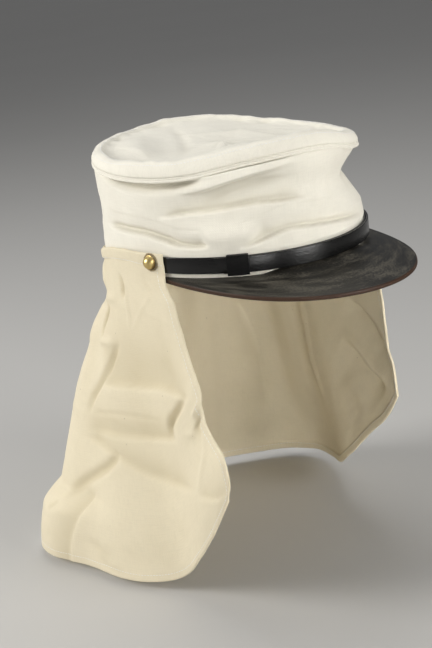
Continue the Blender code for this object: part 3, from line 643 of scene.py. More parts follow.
def stand_for(piece: Piece, slot: str, *nodes: str) -> None:
    """Let a piece ride on the cap, in place of its solids."""
    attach(piece, "root")
    if nodes:
        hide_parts(*nodes)
    faces = sum(len(face.vertices) - 2 for face in piece.data.polygons)
    log.info("%s: %d triangles, in place of %s", piece.name, faces, ", ".join(nodes) or "no solid")


class NodeMaker:
    """Node tree under construction: adds nodes and links them by short calls."""

    def __init__(self, tree: bpy.types.NodeTree) -> None:
        """Start work on a tree."""
        self.tree = tree

    def add(self, kind: str, inputs: dict | None = None, **settings: object) -> bpy.types.Node:
        """Add a node, set its settings and fill or link its inputs.

        Args:
            kind: Blender's name of the node type.
            inputs: A value or an output socket for some of the inputs, by name or number.
            settings: Values of the node's own properties.

        Returns:
            The new node.
        """
        node = self.tree.nodes.new(kind)
        for name, value in settings.items():
            setattr(node, name, value)
        for key, value in (inputs or {}).items():
            self.fill(node.inputs[key], value)
        return node

    def fill(self, socket: Socket, value: object) -> None:
        """Link a socket to an output, or set its own value."""
        if isinstance(value, Socket):
            self.tree.links.new(value, socket)
        else:
            socket.default_value = value


class ShaderTree(NodeMaker):
    """Material under construction."""

    def __init__(self, name: str) -> None:
        """Start a material that holds a Principled BSDF."""
        self.material = bpy.data.materials.new(name)
        self.material.use_nodes = True
        super().__init__(self.material.node_tree)
        self.surface = self.tree.nodes["Principled BSDF"]

    def cloth_map(self) -> Socket:
        """Flat place on the cloth, in metres."""
        return self.add("ShaderNodeUVMap", uv_map="cloth").outputs["UV"]

    def object_place(self) -> Socket:
        """Place in the cap's own frame, in metres."""
        return self.add("ShaderNodeTexCoord").outputs["Object"]

    def attribute(self, name: str) -> Socket:
        """Number stored on the mesh under a name."""
        return self.add("ShaderNodeAttribute", attribute_name=name).outputs["Fac"]

    def stretch(self, place: Socket, scale: Place) -> Socket:
        """Scale a place along its axes."""
        return self.add("ShaderNodeMapping", {"Vector": place, "Scale": scale}).outputs["Vector"]

    def noise(self, place: Socket, scale: float, detail: float = 2.0) -> Socket:
        """Soft noise, around one half."""
        node = self.add("ShaderNodeTexNoise", {"Vector": place, "Scale": scale, "Detail": detail})
        return node.outputs["Fac"]

    def ramp(self, value: Socket, low: float, high: float) -> Socket:
        """Map a value smoothly from 0 at low to 1 at high."""
        inputs = {"Value": value, "From Min": low, "From Max": high}
        return self.add("ShaderNodeMapRange", inputs, interpolation_type="SMOOTHSTEP").outputs["Result"]

    def math(self, operation: str, first: object, second: object = 0.0) -> Socket:
        """Do one sum on two values or sockets."""
        return self.add("ShaderNodeMath", {0: first, 1: second}, operation=operation).outputs["Value"]

    def mix(self, share: object, low: object, high: object) -> Socket:
        """Mix two colours by a share."""
        node = self.add("ShaderNodeMix", {0: share, 6: low, 7: high}, data_type="RGBA")
        return node.outputs[2]

    def bump(self, height: Socket, depth: float, under: object = None) -> Socket:
        """Raise a bump of a depth in metres, on another bump if one is given."""
        node = self.add("ShaderNodeBump", {"Height": height, "Distance": depth, "Strength": 1.0})
        if under is not None:
            self.fill(node.inputs["Normal"], under)
        return node.outputs["Normal"]

    def finish(self, **inputs: object) -> Material:
        """Fill the surface's inputs, named with low lines for spaces, and return the material."""
        for name, value in inputs.items():
            self.fill(self.surface.inputs[name.replace("_", " ")], value)
        return self.material


@dataclass(frozen=True)
class CottonFinish:
    """Plain-woven cotton with slubs, painted shade in its creases and, if it is unbleached, seed flecks.

    Attributes:
        name: Name of the material.
        colour: Colour of the cloth.
        crease_shade: Colour of the painted shade that it takes in its creases.
        thread: Distance between threads in metres.
        slub: Depth of the thick places in the threads.
        flecks: Share of the cells that hold a seed fleck.
        fleck_colour: Colour of the flecks.
    """
    name: str
    colour: Colour
    crease_shade: Colour
    thread: float = 0.00055
    slub: float = 0.00010
    flecks: float = 0.0
    fleck_colour: Colour = (0.16, 0.10, 0.05, 1.0)

    def make(self) -> Material:
        """Build the material."""
        tree = ShaderTree(self.name)
        flat = tree.cloth_map()
        warp = tree.noise(tree.stretch(flat, (1.0, 0.10, 1.0)), 1100.0, 2.0)
        weft = tree.noise(tree.stretch(flat, (0.10, 1.0, 1.0)), 1100.0, 2.0)
        slubs = tree.math("ADD", warp, weft)
        patches = tree.noise(flat, 34.0, 3.0)
        # Painted shade: the crease share stored on the mesh darkens and yellows the cloth in its folds;
        # random patches add a little real ageing
        shade_share = tree.math("MULTIPLY", tree.attribute("crease_shade"), 0.75)
        shade_and_patches = tree.math("ADD", shade_share, tree.math("MULTIPLY", tree.ramp(patches, 0.48, 0.78), 0.22))
        colour = tree.mix(shade_and_patches, self.colour, self.crease_shade)
        shade = tuple(0.90 * part for part in self.colour[:3]) + (1.0,)
        colour = tree.mix(tree.math("MULTIPLY", tree.ramp(slubs, 0.85, 1.25), 0.35), colour, shade)
        if self.flecks > 0.0:
            colour = tree.mix(self.fleck_mask(tree, flat), colour, self.fleck_colour)
        normal = tree.bump(self.weave(tree, flat), 0.00007)
        normal = tree.bump(slubs, self.slub, normal)
        return tree.finish(
            Base_Color=colour, Roughness=0.9, Normal=normal, Sheen_Weight=0.12, Sheen_Roughness=0.5,
            Specular_IOR_Level=0.22)

    def weave(self, tree: ShaderTree, flat: Socket) -> Socket:
        """Height of a plain weave: threads that pass over and under each other."""
        split = tree.add("ShaderNodeSeparateXYZ", {"Vector": flat})
        turns = 2.0 * math.pi / (2.0 * self.thread)
        waves = []
        for axis in ("X", "Y"):
            waves.append(tree.math("SINE", tree.math("MULTIPLY", split.outputs[axis], turns)))
        return tree.math("MULTIPLY", *waves)

    def fleck_mask(self, tree: ShaderTree, flat: Socket) -> Socket:
        """Share of fleck colour: small dots in some of the cells."""
        cells = tree.add("ShaderNodeTexVoronoi", {"Vector": flat, "Scale": 150.0})
        dots = tree.math("SUBTRACT", 1.0, tree.ramp(cells.outputs["Distance"], 0.035, 0.085))
        chosen = tree.add("ShaderNodeSeparateColor", {"Color": cells.outputs["Color"]})
        kept = tree.math("LESS_THAN", chosen.outputs[0], self.flecks)
        return tree.math("MULTIPLY", tree.math("MULTIPLY", dots, kept), 0.75)


@dataclass(frozen=True)
class LeatherFinish:
    """Black leather with a grain, scuffs that follow it, and a worn rim where it has one.

    Attributes:
        name: Name of the material.
        colour: Colour of the leather.
        scuff: Colour of the scuffs.
        scuffed: Share of scuffs, from 0 to 1.
        roughness: Roughness of the unworn leather.
        worn_roughness: Roughness of the scuffs.
        rim: Colour of the worn rim.
        shine: Level of its reflections.
    """
    name: str
    colour: Colour
    scuff: Colour
    scuffed: float
    roughness: float
    worn_roughness: float
    rim: Colour = (0.040, 0.019, 0.010, 1.0)
    shine: float = 0.28

    def make(self) -> Material:
        """Build the material."""
        tree = ShaderTree(self.name)
        flat = tree.cloth_map()
        streaks = tree.noise(tree.stretch(flat, (0.30, 1.3, 1.0)), 120.0, 6.0)
        patches = tree.noise(flat, 24.0, 3.0)
        both = tree.math("ADD", streaks, tree.math("MULTIPLY", patches, 0.9))
        speckle = tree.noise(flat, 700.0, 1.0)
        both = tree.math("ADD", both, tree.math("MULTIPLY", tree.math("SUBTRACT", speckle, 0.5), 0.9))
        scuffs = tree.math("MULTIPLY", tree.ramp(both, 0.86, 1.22), self.scuffed)
        scratches = tree.noise(tree.stretch(flat, (0.05, 3.4, 1.0)), 210.0, 2.0)
        lines = tree.math("MULTIPLY", tree.ramp(scratches, 0.66, 0.74), self.scuffed)
        worn = tree.math("MINIMUM", tree.math("ADD", scuffs, lines), 1.0)
        colour = tree.mix(worn, self.colour, self.scuff)
        rim = tree.attribute("rim")
        ragged = tree.ramp(tree.math("ADD", rim, tree.math("MULTIPLY", streaks, 0.5)), 0.75, 1.05)
        colour = tree.mix(ragged, colour, self.rim)
        spread = self.worn_roughness - self.roughness
        roughness = tree.math("ADD", tree.math("MULTIPLY", worn, spread), self.roughness)
        grain = tree.add("ShaderNodeTexVoronoi", {"Vector": flat, "Scale": 1300.0}).outputs["Distance"]
        normal = tree.bump(grain, 0.00006)
        normal = tree.bump(both, 0.00012, normal)
        return tree.finish(
            Base_Color=colour, Roughness=roughness, Normal=normal, Specular_IOR_Level=self.shine)


@dataclass(frozen=True)
class BrassFinish:
    """Old brass: bright where it is worn and where a highlight is painted, brown tarnish elsewhere."""
    name: str = "old_brass"
    colour: Colour = (0.62, 0.47, 0.20, 1.0)
    tarnish: Colour = (0.15, 0.10, 0.04, 1.0)

    def make(self) -> Material:
        """Build the material."""
        tree = ShaderTree(self.name)
        place = tree.object_place()
        cloud = tree.noise(place, 420.0, 3.0)
        # The share stored on the mesh mixes real wear on the dome's crown with a painted highlight on its
        # upper side and painted shade on the opposite side
        rubbed_and_lit = tree.attribute("rubbed_and_lit")
        worn = tree.ramp(tree.math("ADD", rubbed_and_lit, tree.math("MULTIPLY", cloud, 0.6)), 0.45, 1.05)
        colour = tree.mix(worn, self.tarnish, self.colour)
        roughness = tree.math("SUBTRACT", 0.58, tree.math("MULTIPLY", worn, 0.20))
        normal = tree.bump(tree.noise(place, 900.0, 2.0), 0.00012)
        return tree.finish(Base_Color=colour, Metallic=1.0, Roughness=roughness, Normal=normal)


@dataclass(frozen=True)
class ThreadFinish:
    """Sewing thread with a twist."""
    name: str
    colour: Colour

    def make(self) -> Material:
        """Build the material."""
        tree = ShaderTree(self.name)
        twist = tree.noise(tree.object_place(), 2400.0, 1.0)
        shade = tuple(0.7 * part for part in self.colour[:3]) + (1.0,)
        colour = tree.mix(twist, self.colour, shade)
        normal = tree.bump(twist, 0.00005)
        return tree.finish(Base_Color=colour, Roughness=0.9, Normal=normal, Specular_IOR_Level=0.15)


@dataclass(frozen=True)
class PlainFinish:
    """Matt finish of the floor, with a faint unevenness."""
    name: str
    colour: Colour

    def make(self) -> Material:
        """Build the material."""
        tree = ShaderTree(self.name)
        cloud = tree.noise(tree.object_place(), 1.4, 2.0)
        shade = tuple(0.94 * part for part in self.colour[:3]) + (1.0,)
        return tree.finish(Base_Color=tree.mix(cloud, self.colour, shade), Roughness=0.85)


class GeometryTree(NodeMaker):
    """Geometry node tree under construction, with named inputs for its sizes."""

    def __init__(self, name: str) -> None:
        """Start a tree with one geometry in and one out."""
        super().__init__(bpy.data.node_groups.new(name, "GeometryNodeTree"))
        sockets = self.tree.interface
        sockets.new_socket("Geometry", in_out="INPUT", socket_type="NodeSocketGeometry")
        sockets.new_socket("Geometry", in_out="OUTPUT", socket_type="NodeSocketGeometry")
        self.start = self.tree.nodes.new("NodeGroupInput")
        self.end = self.tree.nodes.new("NodeGroupOutput")

    def entry(self, name: str, kind: str = "NodeSocketFloat") -> Socket:
        """Add a named input and return the socket that gives its value."""
        self.tree.interface.new_socket(name, in_out="INPUT", socket_type=kind)
        return self.start.outputs[name]

    def close(self, geometry: Socket, finish: Socket) -> bpy.types.NodeTree:
        """End the tree: realize what is instanced and give it its material."""
        real = self.add("GeometryNodeRealizeInstances", {"Geometry": geometry})
        dressed = self.add("GeometryNodeSetMaterial", {"Geometry": real.outputs[0], "Material": finish})
        self.tree.links.new(dressed.outputs[0], self.end.inputs[0])
        return self.tree


def run_tree(piece: Piece, tree: bpy.types.NodeTree, inputs: dict[str, object]) -> None:
    """Replace a piece's mesh by what a geometry node tree makes of it.

    Args:
        piece: The piece, whose mesh is the tree's geometry input.
        tree: The tree.
        inputs: Values of the tree's named inputs.
    """
    modifier = piece.modifiers.new(tree.name, "NODES")
    modifier.node_group = tree
    for item in tree.interface.items_tree:
        if item.item_type == "SOCKET" and item.in_out == "INPUT" and item.name in inputs:
            modifier[item.identifier] = inputs[item.name]
    graph = bpy.context.evaluated_depsgraph_get()
    made = bpy.data.meshes.new_from_object(piece.evaluated_get(graph))
    piece.modifiers.remove(modifier)
    piece.data = made


def path_mesh(name: str, points: Field, outwards: Field, closed: bool) -> Mesh:
    """Mesh of one chain of edges that knows which way is outwards at each point."""
    count = len(points)
    edges = [(index, index + 1) for index in range(count - 1)]
    if closed:
        edges.append((count - 1, 0))
    mesh = bpy.data.meshes.new(name)
    mesh.from_pydata(points.tolist(), edges, [])
    layer = mesh.attributes.new("outwards", "FLOAT_VECTOR", "POINT")
    layer.data.foreach_set("vector", outwards.astype(np.float32).ravel())
    return mesh


class StitchTree:
    """Row of stitches along a path, each a small bead of thread lying on the cloth."""

    def __init__(self) -> None:
        """Build the tree once; its inputs are set for each row."""
        self.tree = self.build()

    @staticmethod
    def build() -> bpy.types.NodeTree:
        """Build the tree."""
        tree = GeometryTree("stitch_row")
        pitch = tree.entry("Pitch")
        length = tree.entry("Length")
        width = tree.entry("Width")
        height = tree.entry("Height")
        finish = tree.entry("Thread", "NodeSocketMaterial")
        curve = tree.add("GeometryNodeMeshToCurve", {"Mesh": tree.start.outputs[0]})
        row = tree.add(
            "GeometryNodeResampleCurve", {"Curve": curve.outputs[0], "Length": pitch}, mode="LENGTH")
        bead = tree.add("GeometryNodeMeshUVSphere", {"Segments": 6, "Rings": 5, "Radius": 0.5})
        size = tree.add("ShaderNodeCombineXYZ", {"X": height, "Y": width, "Z": length})
        laid = tree.add("GeometryNodeTransform", {"Geometry": bead.outputs[0], "Scale": size.outputs[0]})
        tangent = tree.add("GeometryNodeInputTangent")
        outwards = tree.add("GeometryNodeInputNamedAttribute", {"Name": "outwards"}, data_type="FLOAT_VECTOR")
        along = tree.add(
            "FunctionNodeAlignRotationToVector", {"Vector": tangent.outputs[0]}, axis="Z")
        upright = tree.add(
            "FunctionNodeAlignRotationToVector",
            {"Rotation": along.outputs[0], "Vector": outwards.outputs[0]}, axis="X", pivot_axis="Z")
        jitter = tree.add("FunctionNodeRandomValue", {2: 0.86, 3: 1.14, "Seed": 7}, data_type="FLOAT")
        rows = tree.add("GeometryNodeInstanceOnPoints", {
            "Points": row.outputs[0], "Instance": laid.outputs[0], "Rotation": upright.outputs[0],
            "Scale": jitter.outputs[1]})
        smooth = tree.add("GeometryNodeSetShadeSmooth", {"Geometry": rows.outputs[0]})
        return tree.close(smooth.outputs[0], finish)

    def sew(self, name: str, points: Field, outwards: Field, thread: Material,
            size: "StitchSize", closed: bool = False) -> Piece:
        """Sew one row of stitches.

        Args:
            name: Name of the new piece.
            points: Points that the row follows.
            outwards: Direction away from the cloth at each point.
            thread: Material of the thread.
            size: Sizes of the stitches.
            closed: Whether the row closes on itself.

        Returns:
            The new piece.
        """
        piece = place_piece(name, path_mesh(name, points, outwards, closed), thread)
        run_tree(piece, self.tree, {
            "Pitch": size.pitch, "Length": size.length, "Width": size.width,
            "Height": size.height, "Thread": thread})
        return piece


@dataclass(frozen=True)
class StitchSize:
    """Pitch of a row of stitches, and the sizes of one stitch."""
    pitch: float
    length: float
    width: float
    height: float


HEM_STITCH = StitchSize(0.0026, 0.0020, 0.00038, 0.00024)
EDGE_STITCH = StitchSize(0.0024, 0.0018, 0.00036, 0.00028)
BUTTONHOLE_STITCH = StitchSize(0.00070, 0.00062, 0.0017, 0.00072)


def join_pieces(name: str, parts: Sequence[Piece]) -> Piece:
    """Join several pieces that hold one material into one."""
    shape = bmesh.new()
    for part in parts:
        shape.from_mesh(part.data)
    mesh = bpy.data.meshes.new(name)
    shape.to_mesh(mesh)
    shape.free()
    mesh.shade_smooth()
    finish = parts[0].data.materials[0]
    for part in parts:
        bpy.data.objects.remove(part)
    return place_piece(name, mesh, finish)


class BandTree:
    """Band of any section swept along a path, its section's first axis facing outwards."""

    def __init__(self) -> None:
        """Build the tree once; its inputs are set for each band."""
        self.tree = self.build()

    @staticmethod
    def build() -> bpy.types.NodeTree:
        """Build the tree."""
        tree = GeometryTree("swept_band")
        section = tree.entry("Section", "NodeSocketObject")
        pucker = tree.entry("Pucker")
        size = tree.entry("Pucker size")
        finish = tree.entry("Finish", "NodeSocketMaterial")
        outwards = tree.add("GeometryNodeInputNamedAttribute", {"Name": "outwards"}, data_type="FLOAT_VECTOR")
        curve = tree.add("GeometryNodeMeshToCurve", {"Mesh": tree.start.outputs[0]})
        upright = tree.add(
            "GeometryNodeSetCurveNormal", {"Curve": curve.outputs[0], "Normal": outwards.outputs[0]},
            mode="FREE")
        place = tree.add("GeometryNodeSplineParameter")
        along = tree.add("GeometryNodeStoreNamedAttribute", {
            "Geometry": upright.outputs[0], "Name": "along", "Value": place.outputs["Length"],
        }, data_type="FLOAT")
        held = tree.add("GeometryNodeObjectInfo", {"Object": section})
        outline = tree.add("GeometryNodeMeshToCurve", {"Mesh": held.outputs["Geometry"]})
        around = tree.add("GeometryNodeStoreNamedAttribute", {
            "Geometry": outline.outputs[0], "Name": "around", "Value": place.outputs["Length"],
        }, data_type="FLOAT")
        swept = tree.add("GeometryNodeCurveToMesh", {
            "Curve": along.outputs[0], "Profile Curve": around.outputs[0], "Fill Caps": True})
        noise = tree.add("ShaderNodeTexNoise", {"Scale": size, "Detail": 1.0})
        centred = tree.add("ShaderNodeMath", {0: noise.outputs["Fac"], 1: 0.5}, operation="SUBTRACT")
        depth = tree.add("ShaderNodeMath", {0: centred.outputs[0], 1: pucker}, operation="MULTIPLY")
        normal = tree.add("GeometryNodeInputNormal")
        move = tree.add(
            "ShaderNodeVectorMath", {0: normal.outputs[0], "Scale": depth.outputs[0]}, operation="SCALE")
        moved = tree.add("GeometryNodeSetPosition", {"Geometry": swept.outputs[0], "Offset": move.outputs[0]})
        return tree.close(moved.outputs[0], finish)

    def sweep(self, name: str, path: Mesh, section: Chart, finish: Material,
              pucker: float = 0.0, pucker_size: float = 100.0) -> Piece:
        """Sweep a closed section along a path.

        Args:
            name: Name of the new piece.
            path: The path, as path_mesh makes it.
            section: Corners of the section: distance outwards, and upwards, from the path.
            finish: Material of the band.
            pucker: Depth of its unevenness.
            pucker_size: How fine the unevenness is.

        Returns:
            The new piece.
        """
        outline = bpy.data.meshes.new(name + "_section")
        count = len(section)
        points = [(outwards, upwards, 0.0) for outwards, upwards in section]
        outline.from_pydata(points, [(index, (index + 1) % count) for index in range(count)], [])
        held = bpy.data.objects.new(name + "_section", outline)
        bpy.context.scene.collection.objects.link(held)
        piece = place_piece(name, path, finish)
        run_tree(piece, self.tree, {
            "Section": held, "Pucker": pucker, "Pucker size": pucker_size, "Finish": finish})
        bpy.data.objects.remove(held)
        self.chart(piece.data)
        ClosedSkin.face_outwards(piece.data)
        return piece

    @staticmethod
    def chart(mesh: Mesh) -> None:
        """Make the UV map named cloth from the lengths along and around the band."""
        values = []
        for name in ("along", "around"):
            column = np.zeros(len(mesh.vertices), np.float32)
            mesh.attributes[name].data.foreach_get("value", column)
            values.append(column)
        corners = np.zeros(len(mesh.loops), np.int32)
        mesh.loops.foreach_get("vertex_index", corners)
        layer = mesh.uv_layers.new(name="cloth")
        layer.data.foreach_set("uv", np.stack(values, -1)[corners].ravel())


def rounded_box(low: float, high: float, bottom: float, top: float, radius: float, steps: int = 4) -> Chart:
    """Outline of a box with round corners, as distances outwards and upwards."""
    outline = []
    corners = ((high, bottom, -90.0), (high, top, 0.0), (low, top, 90.0), (low, bottom, 180.0))
    for across, up, first in corners:
        centre_x = across - radius if across == high else across + radius
        centre_y = up - radius if up == top else up + radius
        for step in range(steps + 1):
            angle = math.radians(first + 90.0 * step / steps)
            outline.append((centre_x + radius * math.cos(angle), centre_y + radius * math.sin(angle)))
    return outline


@dataclass
class Workshop:
    """What every piece is made with: the rim's oval, the finishes and the node trees."""
    oval: RimOval
    white_cotton: Material
    cream_cotton: Material
    peak_leather: Material
    raw_edge: Material
    strap_leather: Material
    keeper_leather: Material
    brass: Material
    white_thread: Material
    cream_thread: Material
    stitches: StitchTree
    bands: BandTree


@dataclass
class Crown:
    """Cotton crown: the creased side wall, the welt in its seam and the gathered top.

    Attributes:
        shop: What the pieces are made with.
        strap_top: Height of the chin strap's upper edge.
        height: Height that the seam's table is a share of.
        cloth: Thickness of the cloth.
        bulge: How far the wall swells out under the seam.
        welt: Height of the welt.
        rise: Height that the border's crest is a share of.
        flush_depth: How far the wall comes out at its seam over the peak.
        flush_turn: Turn, to the left of the front, of the middle of that part.
        flush_fade: Turns from that middle between which this ends.
        flush_rise: Shares of the wall's height between which it comes out.
        bulge_rise: Shares of the wall's height between which it swells out.
        held_at_seam: Shares of the wall's height between which its folds end.
        free_over_strap: Heights over the strap between which they begin.
        held_at_edge: Shares of the top's radius between which its folds end.
        border_inside: Shares of that radius between which they grow weak in the border.
        border_folds: Share of them that is left there.
        top_crease_shade: Share of the painted crease shade that the top takes.
        tuck: Height of each row of the folded lower edge, and its share of the thickness.
        brow: Radius of each row under the top's border, and its share of the crest.
        columns: Columns of points round the crown.
        wall_rows: Rows of points of the wall over its folded edge.
        border_rows: Rows of points of the top's border.
        middle_rows: Rows of points of the top's middle.
    """
    shop: Workshop
    strap_top: float
    height: float = 0.0755
    cloth: float = 0.0014
    bulge: float = 0.0006
    welt: float = 0.0030
    rise: float = 0.0092
    flush_depth: float = 0.0012
    flush_turn: float = 35.0
    flush_fade: Range = (38.0, 78.0)
    flush_rise: Range = (0.76, 0.95)
    bulge_rise: Range = (0.50, 0.90)
    held_at_seam: Range = (0.945, 0.985)
    free_over_strap: Range = (-0.0005, 0.0034)
    held_at_edge: Range = (0.965, 1.0)
    border_inside: Range = (0.84, 0.90)
    border_folds: float = 0.15
    top_crease_shade: float = 0.6
    tuck: Chart = ((0.0, 0.5), (0.006, 0.85), (0.016, 1.0), (0.030, 1.0))
    brow: Chart = ((1.005, 0.0), (1.006, 0.16), (1.004, 0.33))
    columns: int = 420
    wall_rows: int = 92
    border_rows: int = 34
    middle_rows: int = 26

    def build(self) -> None:
        """Build the wall, the welt, the top and the stitches."""
        self.build_wall()
        self.build_welt()
        self.build_top()

    def turns(self) -> Field:
        """Turn of each column."""
        return 360.0 * np.arange(self.columns) / self.columns

    def seam(self, turns: Field) -> Field:
        """Height of the seam round the top."""
        return self.height * read_round(SEAM, "height", turns)

    def flush(self, turns: Field) -> Field:
        """How far the wall comes out over the peak, level with the welt in its seam."""
        from_middle = np.abs(np.mod(turns + self.flush_turn + 180.0, 360.0) - 180.0)
        return self.flush_depth * (1.0 - smooth_step(*self.flush_fade, from_middle))

    def wall_offset(self, turns: Field, heights: Field) -> Field:
        """How far the wall stands out of the rim's oval."""
        radius = self.shop.oval.radius
        scale = (math.radians(1.0) * radius, MM)
        total = np.zeros(turns.shape)
        for fold in WALL_FOLDS:
            middle = (fold.line[0][0] + fold.line[-1][0]) / 2.0
            near = middle + np.mod(turns - middle + 180.0, 360.0) - 180.0
            total = total + fold_height(fold, near * scale[0], heights, scale)
        share = heights / self.seam(turns)
        total = total + rumple(WALL_RUMPLES, turns / 360.0, share)
        free = smooth_step(*self.free_over_strap, heights - self.strap_top)
        under_seam = 1.0 - smooth_step(*self.held_at_seam, share)
        bulge = self.bulge * smooth_step(*self.bulge_rise, share)
        return total * free * under_seam + bulge + self.flush(turns) * smooth_step(*self.flush_rise, share)

    def build_wall(self) -> None:
        """Side wall, folded under at its lower edge."""
        tuck = np.array(self.tuck)
        shares = np.concatenate([tuck[:, 0], np.linspace(1.5 * tuck[-1, 0], 1.0, self.wall_rows)])
        turns = self.turns()[None, :] + np.zeros((len(shares), 1))
        heights = shares[:, None] * (self.seam(turns) - self.welt)
        offset = self.wall_offset(turns, heights)
        depth = np.ones(len(shares))
        depth[:len(tuck)] = tuck[:, 1]
        outer = self.shop.oval.point(turns, offset, heights)
        normal = -surface_normals(outer, ring=True)
        tucked = outer - normal * (self.cloth * (1.0 - depth))[:, None, None]
        inner = outer - normal * (self.cloth * depth)[:, None, None]
        skin = ClosedSkin("crown_side_cloth", tucked, inner, self.wall_chart(turns, heights), ring=True)
        mesh = skin.mesh()
        # Painted shade: the cloth is darkened in its creases by how deep they lie under their surroundings
        put_attribute(mesh, "crease_shade", self.hollows(offset).ravel())
        piece = place_piece("crown_side_cloth", mesh, self.shop.white_cotton)
        stand_for(piece, "white_cotton", "crown_side")

    def wall_chart(self, turns: Field, heights: Field) -> Field:
        """Flat place of the wall's points: length round the rim, and height."""
        round_rim = np.radians(np.concatenate([turns, turns[:, :1] + 360.0], axis=1)) * self.shop.oval.radius
        up = np.concatenate([heights, heights[:, :1]], axis=1)
        return np.stack([round_rim, up], axis=-1)

    @staticmethod
    def hollows(offset: Field) -> Field:
        """How far each place lies in a crease, from 0 to 1, by its height under its surroundings: the share
        of painted shade there.
        """
        around = offset.copy()
        for _ in range(6):
            around = (np.roll(around, 3, 1) + np.roll(around, -3, 1) + around) / 3.0
            around[2:-2] = (around[:-4] + around[4:] + around[2:-2]) / 3.0
        return smooth_step(0.0, 1.4 * MM, around - offset)

    def build_welt(self) -> None:
        """Welt in the seam: two narrow rolls of cloth with the seam between them."""
        turns = self.turns() + 180.0
        path = self.shop.oval.point(turns, self.bulge, self.seam(turns))
        mesh = path_mesh("crown_welt_cloth", path, self.shop.oval.normal(turns), closed=True)
        lower_roll = self.roll((-0.15 * MM, -2.25 * MM), 1.15 * MM, -80.0, 64.0)
        upper_roll = self.roll((-0.25 * MM, -0.62 * MM), 0.85 * MM, -34.0, 80.0)
        section = [(-1.7 * MM, -3.4 * MM), *lower_roll, *upper_roll, (-1.7 * MM, 0.1 * MM)]
        piece = self.shop.bands.sweep(
            "crown_welt_cloth", mesh, section, self.shop.white_cotton, pucker=0.5 * MM, pucker_size=150.0)
        stand_for(piece, "white_cotton", "crown_welt")

    @staticmethod
    def roll(centre: Range, radius: float, first: float, last: float, steps: int = 6) -> Chart:
        """Outline of one roll of the welt, from a first angle to a last one in degrees."""
        angles = np.radians(first + (last - first) * np.arange(steps + 1) / steps)
        return [
            (centre[0] + radius * math.cos(angle), centre[1] + radius * math.sin(angle)) for angle in angles]

    def top_height(self, turns: Field, radius: Field) -> Field:
        """Height of the top: its border over the seam, and its sunken, gathered middle."""
        level = self.height * float(np.mean([row.height for row in SEAM]))
        seam = level + (self.seam(turns) - level) * smooth_step(0.0, 0.86, radius)
        crest = self.rise * read_round(SEAM, "crest", turns)
        height = seam + crest * read_table(TOP_SECTION, "radius", "rise", radius)
        oval = self.shop.oval
        across = -radius * np.sin(np.radians(turns))
        along = -radius * np.cos(np.radians(turns))
        scale = (oval.half_width, oval.half_length)
        folds = add_folds(TOP_FOLDS, across * scale[0], along * scale[1], scale)
        inside = 1.0 - smooth_step(*self.border_inside, radius)
        middle = smooth_step(0.0, 0.12, radius)
        folds = folds * (self.border_folds + (1.0 - self.border_folds) * inside)
        soft = rumple(TOP_RUMPLES, turns / 360.0, radius) * middle
        for ring in BORDER_PUCKERS:
            soft = soft + ring.noise.heights(turns / 360.0, radius) * bell(radius - ring.radius, ring.width)
        free = 1.0 - smooth_step(*self.held_at_edge, radius)
        return height + (folds + soft) * free

    def build_top(self) -> None:
        """Top of the crown, with a row of stitches on each side of its border."""
        brow = np.array(self.brow)
        border = np.linspace(0.997, 0.74, self.border_rows)
        radii = np.concatenate([brow[:, 0], border, np.linspace(0.72, 0.02, self.middle_rows)])
        turns = self.turns()[None, :] + np.zeros((len(radii), 1))
        radius = radii[:, None] + np.zeros(turns.shape)
        heights = self.top_height(turns, np.minimum(radius, self.brow[-1][0]))
        crest = self.rise * read_round(SEAM, "crest", self.turns())
        heights[:len(brow)] = self.seam(self.turns()) + crest * brow[:, 1:]
        edge = self.shop.oval.point(turns, self.bulge, heights)
        outer = np.stack([edge[..., 0] * radius, edge[..., 1] * radius, heights], axis=-1)
        normal = -surface_normals(outer, ring=True)
        inner = outer - normal * self.cloth
        chart = np.concatenate([outer[..., :2], outer[:, :1, :2]], axis=1)
        mesh = ClosedSkin("crown_top_cloth", outer, inner, chart, ring=True, capped=True).mesh()
        # Painted shade in the top's creases, weaker than on the wall
        crease_shade = self.top_crease_shade * self.hollows(heights - self.plain_top(turns, radius))
        put_attribute(mesh, "crease_shade", crease_shade.ravel())
        piece = place_piece("crown_top_cloth", mesh, self.shop.white_cotton)
        stand_for(piece, "white_cotton", "crown_top")
        self.sew_top(outer, normal, radii)

    def plain_top(self, turns: Field, radius: Field) -> Field:
        """Height of the top without its folds."""
        crest = self.rise * read_round(SEAM, "crest", turns)
        inner = np.minimum(radius, self.brow[-1][0])
        return self.seam(turns) + crest * read_table(TOP_SECTION, "radius", "rise", inner)

    def sew_top(self, outer: Field, normal: Field, radii: Field) -> None:
        """Stitches beside the seam and where the border meets the sunken middle."""
        rows = []
        for name, radius in (("seam", 0.985), ("border", 0.925)):
            row = nearest(radii, radius)
            points = outer[row] + normal[row] * 0.05 * MM
            rows.append(self.shop.stitches.sew(
                "top_stitches_" + name, points, normal[row], self.shop.white_thread, EDGE_STITCH,
                closed=True))
        piece = join_pieces("top_stitches", rows)
        stand_for(piece, "white_cotton")


